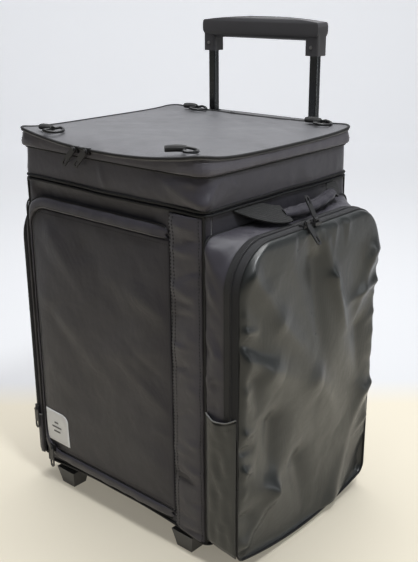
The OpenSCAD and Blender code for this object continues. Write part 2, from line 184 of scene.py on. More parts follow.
def far_along(line):
    """How far along a line each of its points is."""
    return np.concatenate([[0], np.cumsum(np.linalg.norm(np.diff(line, axis=0), axis=1))])


def standing(flat, heights):
    """A grid of points over a line seen from above."""
    points = np.zeros((len(flat), len(heights), 3))
    points[..., :2], points[..., 2] = np.asarray(flat)[:, None], heights
    return points


def rounding(r, beyond):
    """How much narrower a shape is at a place that far into its rounded corner."""
    return r - np.sqrt(r ** 2 - np.clip(beyond, 0, r) ** 2)


def sweep(path, section, up, closed=False):
    """Verts and faces of a section, M by 2 or one for each point, carried along a path, N by 3.
    up is the section's second axis."""
    path = np.asarray(path, float)
    if closed:
        path = np.vstack([path, path[:1]])
        ahead = np.vstack([path[1:], path[1:2]]) - np.vstack([path[-2:-1], path[:-1]])
    else:
        ahead = np.gradient(path, axis=0)
    ahead = unit(ahead)
    up = np.broadcast_to(np.asarray(up, float), ahead.shape)
    side = unit(np.cross(ahead, up))
    high = np.cross(side, ahead)
    section = np.asarray(section, float)
    if section.ndim == 2:
        section = np.broadcast_to(section, (len(path), *section.shape))
    a, b = section.T[..., None]
    points = path[None] + a * side[None] + b * high[None]
    m, n = points.shape[:2]
    faces = grid_faces(m, n, True).tolist()
    if not closed:
        faces += [[k * n for k in range(m)], [k * n + n - 1 for k in range(m)][::-1]]
    return points.reshape(-1, 3), faces


def around(t):
    """Points of the unit circle."""
    return np.stack([np.cos(t), np.sin(t)], -1)


def oval(a, b=None, sides=8):
    return around(np.linspace(0, 2 * math.pi, sides, endpoint=False)) * (a, b or a)


def cord(line, r, up, closed=False):
    return sweep(line, oval(r), up, closed)


def soft_box(a, b, r, sides=3):
    """Rounded rectangle section, 2a by 2b."""
    t = np.radians(np.linspace(0, 90, sides + 1))
    corner = around(t) * r
    turns = [np.array([[c, -s], [s, c]]) for c, s in ((1, 0), (0, 1), (-1, 0), (0, -1))]
    middles = [(a - r, b - r), (-a + r, b - r), (-a + r, -b + r), (a - r, -b + r)]
    return np.vstack([corner @ turn.T + middle for turn, middle in zip(turns, middles)])


def joined(parts):
    verts, faces, count = [], [], 0
    for part_verts, part_faces in parts:
        verts.append(part_verts)
        faces += [[i + count for i in face] for face in part_faces]
        count += len(part_verts)
    return np.vstack(verts), faces


def resample(path, step=None, count=None):
    """The same line with points at even distances, and how far along each one is, 0 to 1."""
    path = np.asarray(path, float)
    far = far_along(path)
    at = np.linspace(0, far[-1], count or max(2, int(round(far[-1] / step)) + 1))
    return np.stack([np.interp(at, far, axis) for axis in path.T], -1), at / far[-1]


def stitches(path, ways, pitch=3.8, length=2.5, width=0.75, height=0.45):
    """A row of thread stitches on a line, as small long beads. ways are its normals, or one for all."""
    at, share = resample(path, pitch)
    ways = np.broadcast_to(np.asarray(ways, float), path.shape)
    up = unit(np.stack([np.interp(share * (len(path) - 1), range(len(path)), axis) for axis in ways.T], -1))
    ahead = unit(np.gradient(at, axis=0))
    side = unit(np.cross(ahead, up))
    bead = np.array([(-1, 0, 0), (0, 1, 0), (0, 0, 1), (0, -1, 0), (0, 0, -0.6), (1, 0, 0)])
    bead = bead * (length / 2, width / 2, height)
    verts = at[:, None] + bead @ np.stack([ahead, side, up], 1)
    sides = [(0, 2, 1), (0, 3, 2), (0, 4, 3), (0, 1, 4), (5, 1, 2), (5, 2, 3), (5, 3, 4), (5, 4, 1)]
    faces = [[6 * k + i for i in face] for k in range(len(at)) for face in sides]
    return verts.reshape(-1, 3), faces


def surface(piece, u=None, v=None):
    """A line just above a piece's grid at a share of its u or v, with the outward normals there."""
    points = points_of(piece)
    axis, share = (0, u) if u is not None else (1, v)
    index = share * (points.shape[axis] - 1)
    low = min(int(index), points.shape[axis] - 2)
    line, way = (np.take(grid, low, axis) * (1 - index + low) + np.take(grid, low + 1, axis) * (index - low)
                 for grid in (points, normals(points)))
    way = unit(way)
    return line + 0.2 * way, way


def outline(low, high, radii, straight, arc=8):
    """Closed anticlockwise outline of a rectangle with rounded corners, from its lower left corner.
    radii are those of the lower left, lower right, upper right and upper left corners, and
    straight says how many parts the lower, right, upper and left sides have."""
    arcs = []
    for k, (right, upper) in enumerate(((0, 0), (1, 0), (1, 1), (0, 1))):
        r = radii[k]
        middle = (high[0] - r if right else low[0] + r, high[1] - r if upper else low[1] + r)
        t = np.radians(180 + 90 * k + np.linspace(0, 90, arc + 1))
        arcs.append(middle + r * around(t))
    parts = []
    for k in range(4):
        start, end = arcs[k][-1], arcs[(k + 1) % 4][0]
        share = np.arange(1, straight[k])[:, None] / straight[k]
        parts += [arcs[k], start + share * (end - start)]
    return np.vstack(parts)


def section_of(path, start, end):
    """The open part of a closed outline from the point nearest to start round to the one nearest to end."""
    path = np.roll(path, -int(np.linalg.norm(path - start, axis=1).argmin()), axis=0)
    return path[:int(np.linalg.norm(path - end, axis=1).argmin()) + 1]


def swell(points, length, seed):
    """Smooth noise of about unit size, with features of about that length."""
    waves = 7
    rng = np.random.default_rng(seed)
    way = unit(rng.normal(size=(waves, 3))) * (2 * math.pi / length * rng.uniform(0.7, 1.4, waves))[:, None]
    return np.sin(points @ way.T + rng.uniform(0, 2 * math.pi, waves)).sum(-1) / math.sqrt(waves)


def creases(points, axes, lines):
    """Height of folds in cloth. Each line is (u0, v0, u1, v1, width, height), with u and v along the two
    axes, and its fold is tallest where it starts and dies out where it ends."""
    flat = points[..., list(axes)]
    total = np.zeros(points.shape[:-1])
    for u0, v0, u1, v1, width, height in lines:
        way = np.array([u1 - u0, v1 - v0])
        t = np.clip((flat - (u0, v0)) @ way / (way @ way), 0, 1)
        gap = np.linalg.norm(flat - (u0, v0) - t[..., None] * way, axis=-1)
        total += height * np.exp(1 - np.sqrt(1 + (2.2 * gap / width) ** 2)) * (1 - t) ** 0.8
    return total


def puckers(start, end, inward, seed, pitch, length, width, height):
    """Short folds that start along a straight seam and run into the cloth."""
    rng = np.random.default_rng(seed)
    seam, far = np.subtract(end, start), math.dist(start, end)
    at, lines = rng.uniform(0, pitch), []
    while at < far:
        u, v = start + seam * (at / far)
        way = inward / np.linalg.norm(inward) + rng.normal(0, 0.35, 2)
        to = np.array([u, v]) + way * length * rng.uniform(0.5, 1.5)
        lines.append((u, v, *to, width * rng.uniform(0.7, 1.4), height * rng.uniform(-0.6, 1.2)))
        at += pitch * rng.uniform(0.6, 1.5)
    return lines


def border(points, sides="ludr"):
    """True on the grid's border: l and r are the first and last u, d and u the first and last v."""
    mask = np.zeros(points.shape[:2], bool)
    mask[0] |= "l" in sides
    mask[-1] |= "r" in sides
    mask[:, 0] |= "d" in sides
    mask[:, -1] |= "u" in sides
    return mask


# ---- Cloth ----

SIM_SCALE = 10       # the solver behaves better on a bag ten times as large
CLOTH = {"vertex_group_mass": "pins", "quality": 6, "mass": 0.15, "tension_stiffness": 15,
         "compression_stiffness": 15, "shear_stiffness": 5, "air_damping": 1, "tension_damping": 5,
         "compression_damping": 5, "shear_damping": 5, "bending_damping": 0.5, "use_pressure": True}
cloth_jobs = []


def drape(piece, pinned, spare, pressure, cap, bend=0.1):
    """Asks for a cloth simulation of a piece. spare is how much longer the cloth is cut than the
    place it is sewn into, along x, y and z, and cap is how far a point may move, in millimetres."""
    cloth_jobs.append((piece, pinned, spare, pressure, cap, bend))
    return piece


def start_cloth(piece, pinned, spare, pressure, bend, steps):
    base = points_of(piece).reshape(-1, 3)
    middle = base.mean(0)
    piece.vertex_groups.new(name="pins").add(np.flatnonzero(pinned.ravel()).tolist(), 1.0, "REPLACE")
    big = (base - middle) * MM * SIM_SCALE
    piece.data.vertices.foreach_set("co", big.astype(np.float32).ravel())
    piece.shape_key_add(name="start")
    cut = piece.shape_key_add(name="cut")
    cut.data.foreach_set("co", (big * (1 + np.array(spare))).astype(np.float32).ravel())
    cloth = piece.modifiers.new("cloth", "CLOTH")
    for key, value in CLOTH.items():
        setattr(cloth.settings, key, value)
    cloth.settings.rest_shape_key = cut
    cloth.settings.bending_stiffness = bend
    cloth.settings.effector_weights.gravity = 0
    cloth.settings.uniform_pressure_force = pressure
    cloth.point_cache.frame_start, cloth.point_cache.frame_end = 1, steps
    return base, middle


def run_cloth():
    """Runs every simulation that was asked for at once, and keeps only its result in the mesh."""
    scene, steps = bpy.context.scene, 24
    started = [start_cloth(piece, pinned, spare, pressure, bend, steps)
               for piece, pinned, spare, pressure, _, bend in cloth_jobs]
    scene.frame_start, scene.frame_end = 1, steps
    for number in range(1, steps + 1):
        scene.frame_set(number)
    view = bpy.context.evaluated_depsgraph_get()
    for (piece, _, _, _, cap, _), (base, middle) in zip(cloth_jobs, started):
        evaluated = piece.evaluated_get(view)
        co = np.zeros(len(base) * 3)
        evaluated.to_mesh().vertices.foreach_get("co", co)
        evaluated.to_mesh_clear()
        moved = co.reshape(-1, 3) / (MM * SIM_SCALE) + middle - base
        length = np.linalg.norm(moved, axis=1, keepdims=True)
        moved *= np.minimum(1, cap / np.maximum(length, 1e-9))
        piece.modifiers.clear()
        piece.shape_key_clear()
        piece.vertex_groups.clear()
        set_points(piece, (base + moved).reshape(*grids[piece.name], 3))
    scene.frame_set(1)
    cloth_jobs.clear()


# ---- Materials ----

class Nodes:
    """Short way to wire a material's nodes."""

    def __init__(self, name):
        self.material = bpy.data.materials.new(name)
        self.material.use_nodes = True
        self.tree = self.material.node_tree
        self.shader = self.tree.nodes["Principled BSDF"]
        self.place = self.add("ShaderNodeTexCoord").outputs["Object"]

    def add(self, kind, links=(), **values):
        node = self.tree.nodes.new(kind)
        for key, value in values.items():
            if hasattr(node, key):
                setattr(node, key, value)
            else:
                node.inputs[key.replace("_", " ")].default_value = value
        for source, target in links:
            self.tree.links.new(source, node.inputs[target])
        return node

    def noise(self, size, detail=2.0, stretch=(1, 1, 1)):
        where = self.add("ShaderNodeMapping", [(self.place, "Vector")])
        where.inputs["Scale"].default_value = stretch
        return self.add("ShaderNodeTexNoise", [(where.outputs[0], "Vector")],
                        Scale=1 / (size * MM), Detail=detail).outputs["Fac"]

    def ribs(self, pitch, direction):
        return self.add("ShaderNodeTexWave", [(self.place, "Vector")], bands_direction=direction,
                        Scale=math.pi / 10 / (pitch * MM)).outputs["Fac"]

    def ramp(self, source, stops):
        node = self.add("ShaderNodeValToRGB", [(source, "Fac")])
        ramp = node.color_ramp
        for k, (where, colour) in enumerate(stops):
            stop = ramp.elements[k] if k < 2 else ramp.elements.new(where)
            stop.position, stop.color = where, (*colour, 1)
        return node.outputs["Color"]

    def tint(self, source, colour, spread, low=0.3, high=0.75):
        """The colour, darker where the source is low and lighter where it is high."""
        shades = ([c * k for c in colour] for k in (1 - spread, 1 + spread, 1))
        return self.ramp(source, zip((low, high, 0.5), shades))

    def math(self, operation, a, b):
        return self.add("ShaderNodeMath", [(a, 0), (b, 1)], operation=operation).outputs[0]

    def between(self, source, low, high):
        return self.add("ShaderNodeMapRange", [(source, "Value")], To_Min=low, To_Max=high).outputs[0]

    def bump(self, layers):
        """layers are (height, depth in millimetres), wired one on the other."""
        normal = None
        for height, depth in layers:
            links = [(height, "Height")] + ([(normal, "Normal")] if normal else [])
            normal = self.add("ShaderNodeBump", links, Distance=depth * MM).outputs["Normal"]
        self.tree.links.new(normal, self.shader.inputs["Normal"])

    def finish(self, **values):
        for key, value in values.items():
            socket = self.shader.inputs[key.replace("_", " ")]
            if isinstance(value, bpy.types.NodeSocket):
                self.tree.links.new(value, socket)
            else:
                socket.default_value = value
        return self.material


def fabric(name, colour, rough=(0.42, 0.58), crinkle=0.5, weave=0.05, sheen=0.15, spread=0.12, coat=0.0):
    """Coated woven nylon: a fine plain weave, small random crinkles and an uneven sheen."""
    n = Nodes(name)
    tint = n.tint(n.noise(70, 4), colour, spread)
    woven = n.math("ADD", n.math("ADD", n.ribs(0.9, "X"), n.ribs(0.9, "Z")), n.ribs(0.9, "Y"))
    n.bump([(n.noise(34, 3), crinkle * 2.4), (n.noise(9, 3), crinkle * 0.55), (woven, weave)])
    return n.finish(Base_Color=tint, Roughness=n.between(n.noise(24, 3), *rough), Sheen_Weight=sheen,
                    Sheen_Roughness=0.4, Coat_Weight=coat, Coat_Roughness=0.25, Specular_IOR_Level=0.36)


def webbing(name, colour):
    """Woven strap: ribs a little over a millimetre apart in each direction."""
    n = Nodes(name)
    ribs = n.math("MULTIPLY", n.math("MAXIMUM", n.ribs(1.5, "X"), n.ribs(1.5, "Y")), n.ribs(1.7, "Z"))
    tint = n.tint(ribs, colour, 0.35, 0.0, 1.0)
    n.bump([(ribs, 0.4), (n.noise(3, 2), 0.15)])
    return n.finish(Base_Color=tint, Roughness=n.between(n.noise(8), 0.65, 0.85), Sheen_Weight=0.08)


def plain(name, colour, rough, metallic=0.0, grain=0.6, depth=0.03, edge_highlight=0.0):
    """Moulded plastic, rubber or metal: a fine grain, faint blotches and, if asked, paler edges that are a
    painted highlight where bevels would catch the light.
    """
    n = Nodes(name)
    tint = n.tint(n.noise(18, 4), colour, 0.1)
    # Painted highlight: edges found by pointiness are made paler, in place of the light their bevels would
    # catch.
    if edge_highlight:
        edges = n.add("ShaderNodeNewGeometry").outputs["Pointiness"]
        share = n.add("ShaderNodeMapRange", [(edges, "Value")], From_Min=0.54, From_Max=0.62, To_Max=edge_highlight)
        mixed = n.add("ShaderNodeMix", [(share.outputs[0], 0)], data_type="RGBA")
        mixed.inputs[7].default_value = (*[c * 2.5 + 0.05 for c in colour], 1)
        n.tree.links.new(tint, mixed.inputs[6])
        tint = mixed.outputs[2]
    n.bump([(n.noise(grain, 2), depth)])
    return n.finish(Base_Color=tint, Roughness=n.between(n.noise(12, 3), *rough), Metallic=metallic)


def brushed(name, colour, rough=(0.25, 0.38)):
    """Drawn aluminium: streaks that run up the tube."""
    n = Nodes(name)
    streaks = n.noise(0.5, 2, (1, 1, 0.02))
    n.bump([(streaks, 0.01)])
    return n.finish(Base_Color=n.tint(streaks, colour, 0.12, high=0.7),
                    Roughness=n.between(n.noise(20, 3), *rough), Metallic=1.0)


BODY = fabric("body_nylon", (0.0235, 0.0215, 0.0295), rough=(0.36, 0.48), crinkle=0.45)
# Painted light: the band's cloth is lighter than the edge nylon, for the light its upward bulge catches
# below the lid's rim.
BAND_CLOTH_PAINTED_LIGHT = fabric("band_nylon_painted_light", (0.078, 0.073, 0.086), rough=(0.34, 0.46), crinkle=0.5)
SEAM_CLOTH = fabric("edge_nylon", (0.046, 0.043, 0.054), rough=(0.34, 0.46), crinkle=0.5)
LID = fabric("lid_nylon", (0.088, 0.0875, 0.095), rough=(0.36, 0.5), crinkle=0.3)
POCKET = fabric("pocket_nylon", (0.0175, 0.0195, 0.0195), rough=(0.25, 0.34), crinkle=0.3, sheen=0.05,
                coat=0.3)
TRIM = fabric("black_binding", (0.006, 0.006, 0.007), crinkle=0.1, rough=(0.55, 0.7), sheen=0.03)
TAPE = fabric("zip_tape", (0.012, 0.012, 0.014), crinkle=0.1, weave=0.12, rough=(0.55, 0.7), sheen=0.08)
HEM = fabric("hem_binding", (0.15, 0.15, 0.145), crinkle=0.1)
LINING = fabric("lining", (0.055, 0.055, 0.058), crinkle=0.4, rough=(0.6, 0.75))
LABEL = fabric("woven_label", (0.86, 0.87, 0.89), crinkle=0.05, weave=0.08, rough=(0.6, 0.7), spread=0.05)
MARK = fabric("label_thread", (0.10, 0.10, 0.11), crinkle=0.02, rough=(0.6, 0.7))
WEB = webbing("webbing", (0.0055, 0.0055, 0.006))
THREAD = plain("thread", (0.004, 0.004, 0.005), (0.6, 0.75), grain=0.4)
PLASTIC = plain("moulded_plastic", (0.018, 0.018, 0.020), (0.4, 0.55), grain=0.8, depth=0.05, edge_highlight=0.5)
GRIP = plain("grip_plastic", (0.028, 0.027, 0.030), (0.38, 0.5), grain=0.7, depth=0.04, edge_highlight=0.4)
BOARD = plain("base_board", (0.03, 0.03, 0.03), (0.6, 0.7), grain=3, depth=0.1)
RUBBER = plain("tyre_rubber", (0.014, 0.014, 0.014), (0.7, 0.85), grain=1.5, depth=0.08, edge_highlight=0.6)
BLACK_METAL = plain("black_metal", (0.011, 0.011, 0.012), (0.28, 0.4), metallic=0.2, edge_highlight=0.4)
STEEL = plain("plated_steel", (0.4, 0.4, 0.41), (0.25, 0.4), metallic=1.0)
TUBE_SILVER = brushed("satin_aluminium", (0.45, 0.46, 0.47))
TUBE_BLACK = brushed("black_aluminium", (0.10, 0.105, 0.11), (0.22, 0.34))

# The material of every CAD node with one of these words in its name. A later line wins.
CAD_LOOKS = {
    BOARD: ("base_board",),
    BLACK_METAL: ("slider", "pull", "d_ring"),
    PLASTIC: ("top_bracket", "base_bar", "release_button", "wheel_housing", "hub_", "foot_"),
    GRIP: ("grip",),
    STEEL: ("frame_screws", "grip_screws", "axle_pins"),
    RUBBER: ("tyre",),
    TUBE_SILVER: ("outer_tube",),
    TUBE_BLACK: ("mid_tube", "inner_tube"),
}


def paint_cad():
    for material, words in CAD_LOOKS.items():
        for name, node in frame["nodes"].items():
            if any(word in name for word in words):
                node.data.materials.clear()
                node.data.materials.append(material)


# ---- The body ----

def lid_height(x, y):
    """Height of the lid's surface: raised at the corners and sagging to the middle of its front edge."""
    a, b = np.abs(x) / lid_w, np.abs(y) / lid_d
    corners = (7.5 - 3 * (y > 0)) * a ** 2.5 * b ** 6
    sags = 10 * (1 - a ** 2) * clip01(-y / lid_d) ** 7, 3 * (1 - b ** 2) * clip01(x / lid_w) ** 5
    return z_lid + 3.5 + corners - sags[0] - sags[1]


def plan(grow, r):
    """The body's outline seen from above, larger by grow, anticlockwise from its front left corner."""
    low = np.array([-half_w - grow, -half_d - grow])
    return outline(low, -low, [r] * 4, (96, 84, 96, 84))


def ring(levels):
    """Points of a band round the body. Each level is (grow, corner radius, height or heights)."""
    rows = []
    for grow, r, height in levels:
        flat = plan(grow, r)
        z = height(flat[:, 0], flat[:, 1]) if callable(height) else height
        rows.append(np.column_stack([flat, np.broadcast_to(z, len(flat))]))
    return np.stack(rows, 1)


def arch(x):
    """Height of the body's front lower edge, which is lifted between its corners."""
    a = np.clip(x / half_w, -1, 1)
    return 15 * (1 - np.abs(a) ** 2.4) + 6 * clip01(-a) ** 4


def in_wheel_bay(middles):
    """Face middles that lie inside a wheel housing, where the body is open."""
    inside = np.zeros(len(middles), bool)
    for side in ("left", "right"):
        low, high = cad("wheel_housing_" + side)
        inside |= np.all((middles > low + (2, 0, -9)) & (middles < high - (2, -9, 3)), axis=1)
    return inside


def body_tube():
    """The two side walls and the rear wall, from one front corner round the back to the other."""
    start, end = ([side * half_w, -half_d + CORNER_R] for side in (1, -1))
    flat = np.vstack([section_of(plan(0, CORNER_R), start, end), end])
    heights = np.concatenate([np.arange(z_base, z_base + 45, 3.4), np.linspace(z_base + 46, z_seam, 72)])
    points = standing(flat, heights)
    x, y, z = xyz(points)
    out = unit(points / (half_w, half_d, np.inf))
    middle = np.sin(np.pi * (z - z_base) / (z_seam - z_base)) ** 0.4
    folds = 1.1 * swell(points, 120, 4) + 0.6 * swell(points * (1, 1, 2), 26, 5)
    points += out * (folds * middle)[..., None]
    z += clip01(1 - (z - z_base) / 60) * np.where(y < 0, (-y / half_d) ** 4, 0) * 6 * (x < 0)
    piece = patch("body_walls", points, BODY, "bag", "body_fabric", keep=lambda m: ~in_wheel_bay(m))
    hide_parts("main_shell")
    thicken(piece, 4, LINING)


def front_y(x):
    """Where the front wall's outer face is, with its rounded corners."""
    return -half_d + rounding(CORNER_R, np.abs(x) - (half_w - CORNER_R))


def door_lines():
    """Hinge side, zip side, lowest and highest edge of the door, and its corner radius."""
    low, high = cad("front_door")
    return high[0], low[0], low[2], high[2], 38


def front_frame():
    """The front wall round the door's opening."""
    hinge_x, zip_x, low_z, high_z, r = door_lines()
    counts = (70, 100, 70, 100)
    inner = outline((zip_x - 1, low_z - 1), (hinge_x + 2, high_z + 1), (r + 1, 1, 1, r + 1), counts)
    outer = outline((-half_w, z_base), (half_w, z_seam), (1, 1, 1, 1), counts)
    outer[:, 1] += np.where(outer[:, 1] < z_base + 2, arch(outer[:, 0]), 0)
    share = np.sin(np.linspace(0, math.pi / 2, 13))[None, :, None]
    flat = inner[:, None] * (1 - share) + outer[:, None] * share
    points = np.stack([flat[..., 0], front_y(flat[..., 0]), flat[..., 1]], -1)
    x, y, z = xyz(points)
    from_door, from_rim = (np.linalg.norm(flat - line[:, None], axis=-1) for line in (inner, outer))
    edge = clip01((from_door - 18) / 10) * clip01(from_rim / 14) * clip01((hinge_x - 4 - x) / 8)
    y -= edge * (0.4 * swell(points * (1, 0, 1.6), 40, 8) + 0.3 * swell(points * (1, 0, 3), 16, 9))
    above = clip01(1 - np.abs(z - (high_z + z_seam) / 2 - 3) / 14)
    y += 5 * np.sin(math.pi / 2 * above) * clip01((hinge_x - x) / 30) * clip01((x + half_w - 14) / 25)
    folds = puckers((-160, z_seam - 3), (110, z_seam - 3), (0.4, -1.0), 17, 30, 26, 8, 1.4)
    y -= edge * creases(points, (0, 2), folds)
    piece = patch("front_frame_fabric", points, BODY, "bag", "body_fabric", closed=True, flip=True)
    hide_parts("front_frame")
    thicken(piece, 4, LINING)


def bottom():
    """The underside, open where the wheels run."""
    bays = np.array([cad("wheel_housing_" + side) for side in ("left", "right")])
    xs = np.unique(np.round(np.concatenate([np.linspace(-half_w, half_w, 36), bays[:, :, 0].ravel()]), 2))
    ys = np.unique(np.round(np.concatenate([np.linspace(-half_d, half_d, 33), bays[:, 0, 1]]), 2))
    x, y = np.meshgrid(xs, ys, indexing="ij")
    short, reach = rounding(CORNER_R, np.abs(y) - half_d + CORNER_R), 15
    x = np.sign(x) * (np.abs(x) - short * clip01((np.abs(x) - half_w + reach) / reach))
    lift = arch(x) * clip01((-y - 40) / (half_d - 40)) ** 1.5
    points = np.stack([x, y, z_base - 0.3 + lift + 0.3 * swell(np.stack([x, y, 0 * x], -1), 60, 3)], -1)
    thicken(patch("underside", points, PLASTIC, "bag", "black_plastic", flip=True,
                  keep=lambda m: ~in_wheel_bay(m + (0, 0, 1))), 2)


def collar():
    points = ring(np.linspace((0, CORNER_R, z_seam), (1.2, 20, z_band + 1), 17))
    _, y, z = xyz(points)
    near = np.sin(np.pi * (z - z_seam) / (z_band - z_seam)) * (1 - 0.6 * clip01(y / half_d) ** 4)
    out = unit(points * (1, 1, 0))
    points += out * ((0.5 + 0.5 * swell(points, 90, 21) + collar_folds(points)) * near)[..., None]
    piece = patch("collar_fabric", points, SEAM_CLOTH, "bag", "body_fabric", closed=True)
    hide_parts("collar")
    return drape(piece, border(points, "ud"), (0.022, 0.022, 0.06), 0.10, 7, bend=0.06)


def collar_folds(points):
    """Diagonal folds of the collar, deepest by its corners. Distances are along the outline."""
    far = far_along(points[:, 0, :2])
    along = np.stack([np.broadcast_to(far[:, None], points.shape[:2]), points[..., 2]], -1)
    corner = far[np.linalg.norm(points[:, 0, :2] - (half_w, -half_d), axis=1).argmin()]
    rng = np.random.default_rng(22)
    lines = [(corner + x0, z0, corner + x1, z1, width, height) for x0, z0, x1, z1, width, height in (
        (-2, z_seam + 8, -80, z_band - 8, 13, 8.0), (-12, z_band - 8, -64, z_band - 18, 9, 6.5),
        (2, z_seam + 8, 20, z_band - 4, 9, 7.0), (12, z_seam + 4, 66, z_band - 12, 12, 6.0),
        (30, z_band - 6, 66, z_seam + 18, 9, 3.0), (-40, z_seam + 5, -110, z_seam + 20, 10, 2.5))]
    for at in np.arange(20, far[-1], 55):
        x = at + rng.uniform(-15, 15)
        lines.append((x, z_seam + rng.uniform(2, 12), x + rng.uniform(-50, 50), z_band - rng.uniform(2, 14),
                      rng.uniform(8, 15), rng.uniform(1.0, 3.0)))
    return creases(along, (0, 1), lines)


def band_low(x, y):
    """Height of the lower edge of the lid's zip band."""
    return z_band - 1 + 0.12 * (lid_height(x, y) - z_lid)


def lid_band():
    """The padded roll that carries the lid's zip. It hangs a little over the collar."""
    def at(share):
        return lambda x, y: band_low(x, y) * (1 - share) + (lid_height(x, y) - 0.8) * share

    overhang = [(1.0, 17, at(0.04)), (4.4, 17, at(0.0)), (5.9, 18, at(0.08))]
    rise = [(6.0 - 3.2 * k ** 2, 18 + k, at(0.08 + 0.92 * k)) for k in np.linspace(0.1, 1, 15)]
    points = ring(overhang + rise)
    points += pleats(points)
    x, y, _ = xyz(points)
    by_sliders = np.exp(-((x + 2) / 150) ** 14) * (y < -half_d)
    y[:] = np.where(by_sliders > 0.01, np.maximum(y, -half_d - 3.6 - 5 * (1 - by_sliders)), y)
    # The band is made with the lightened cloth, which is painted light.
    piece = patch("lid_zip_band", points, BAND_CLOTH_PAINTED_LIGHT, "bag", "body_fabric", closed=True)
    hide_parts("zip_band")
    pinned = border(points, "ud")
    pinned[:, :len(overhang)] = True
    return drape(piece, pinned, (0.012, 0.012, 0.09), 0.05, 1.2, bend=0.02)


def pleats(points):
    """Fine level pleats in the band, where it is pulled round the corners."""
    x, y, z = xyz(points)
    near = clip01(clip01(np.abs(x) / half_w) ** 14 + clip01(np.abs(y) / half_d) ** 14 - 0.75)
    wave = np.sin(z * 1.9 + 1.5 * swell(points, 70, 25)) + 0.5 * np.sin(z * 3.3)
    height = 0.45 * near * wave + 0.35 * swell(points * (1, 1, 2), 30, 26)
    return unit(points * (1, 1, 0)) * height[..., None]


def lid():
    xs, ys = np.linspace(-1, 1, 106), np.linspace(-lid_d, lid_d, 95)
    x = xs[:, None] * (lid_w - rounding(LID_R, np.abs(ys) - lid_d + LID_R))[None, :]
    y = np.broadcast_to(ys, x.shape)
    points = np.stack([x, y, lid_height(x, y)], -1)
    points[..., 2] += 0.5 * swell(points * (1, 2.2, 0), 60, 32) * (1 - xs[:, None] ** 8)
    inner = (1 - xs[:, None] ** 6) * (1 - (ys[None] / lid_d) ** 6)
    points[..., 2] += inner * 0.8 * swell(points * (1, 1, 0), 160, 31)
    piece = patch("lid_cover", points, LID)
    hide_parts("lid_panel")
    pinned = border(points)
    for at, way in tabs():
        pinned |= np.linalg.norm(points[..., :2] - at[:2] + 8 * way, axis=-1) < 11
    return drape(piece, pinned, (0.016, 0.016, 0), 0.05, 6, bend=0.12)


def lid_hinge_blend(piece):
    """The lid's cloth is sewn to the body along its rear edge; this bakes its placement into its mesh."""
    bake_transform(piece)


def tabs():
    """Middle of each D-ring's bar and the way the ring points seen from above."""
    angles = {"front_left": 0, "front_right": math.radians(42), "rear_left": 0, "rear_right": 0}
    return [(joint_at(f"ring_{name}_flip"), np.array([math.cos(angle), math.sin(angle)]))
            for name, angle in angles.items()]


def lid_tab(at, way):
    """Webbing rolled up lengthwise, with one end round the ring's bar and the other sewn to the lid."""
    ahead, across, up = np.array([*way, 0]), np.array([-way[1], way[0], 0]), np.array([0, 0, 1.0])
    spiral = np.linspace(2.2, 5.0, 30)[:, None] * around(np.linspace(0, 2 * math.pi * 1.45, 30) - 1.2)
    thick = unit(spiral) * 0.62
    section = np.vstack([spiral + thick, (spiral - thick)[::-1]])
    sag = [(-24, 0.2), (-18, 0.5), (-10, 0.9), (-3, 0.6), (2.6, 0.2)]
    line, share = resample([at + ahead * a + up * (b + 0.4) for a, b in sag], 1.5)
    squeeze = np.interp(share, [0, 0.25, 0.8, 1], [0.9, 1, 1.02, 0.86])
    roll = sweep(line, np.stack([section * (1.08 * k, 0.86 * k) for k in squeeze]), up)
    sewn = []
    for a in (-20, -15):
        row = np.array([at + ahead * a + across * 5.3 * math.sin(b) + up * (0.9 + 4.6 * math.cos(b))
                        for b in np.linspace(-1.3, 1.3, 9)])
        sewn.append(stitches(row, unit(row - at - ahead * a), 2.6, 1.9))
    return roll, joined(sewn)


def lid_tabs():
    straps, sewn = zip(*(lid_tab(*tab) for tab in tabs()))
    piece = mesh("lid_webbing_tabs", *joined(straps), WEB, "lid", "webbing")
    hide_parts("lid_tabs")
    sewing("lid_tab_stitching", sewn, "lid")


def piping():
    """Thin cords sewn into the seams round the body, and the cord round the lid's edge."""
    cover_x = cad("rear_cover")[1][0]
    cords = []
    for height, r, grow in ((z_seam - 2.8, 2.0, 1.2), (z_seam + 2.8, 2.0, 1.2), (z_base + 0.5, 2.2, 0.6)):
        ends = ((side * (cover_x + 2), half_d + grow) for side in (-1, 1))
        line = section_of(plan(grow, CORNER_R + grow), *ends)
        line = np.column_stack([line, height + 0.5 * swell(np.column_stack([line, 0 * line[:, 0]]), 90, 6)])
        x, y, z = line.T
        if height < z_seam / 2:
            z += np.where(y < 0, arch(x) * clip01(-y / half_d) ** 8, 0)
        cords.append(cord(line, r, (0, 0, 1)))
    corner = np.array([half_w, half_d]) - CORNER_R * (1 - math.sqrt(0.5)) + 0.6
    for way in ((-1, -1), (-1, 1), (1, -1), (1, 1)):
        line = standing([corner * way], np.linspace(z_base + 2, z_seam - 4, 90))[0]
        line[:, :2] += 0.35 * swell(line, 60, 12)[:, None] * way
        cords.append(cord(line, 2.3, (way[0], 0, 0)))
    piece = trim("seam_cords", cords)
    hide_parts("seam_piping")
    flat = plan(lid_w - half_w - 0.3, LID_R)
    line = np.column_stack([flat, lid_height(*flat.T) - 0.4])
    edge = trim("lid_edge_cord", [cord(line, 2.0, (0, 0, 1), closed=True)], "lid")
    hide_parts("lid_piping")
    flat = plan(2.4, 21)
    line = np.column_stack([flat, band_low(*flat.T) - 1.2])
    trim("band_lower_cord", [cord(line, 1.7, (0, 0, 1), closed=True)])


# ---- The front ----

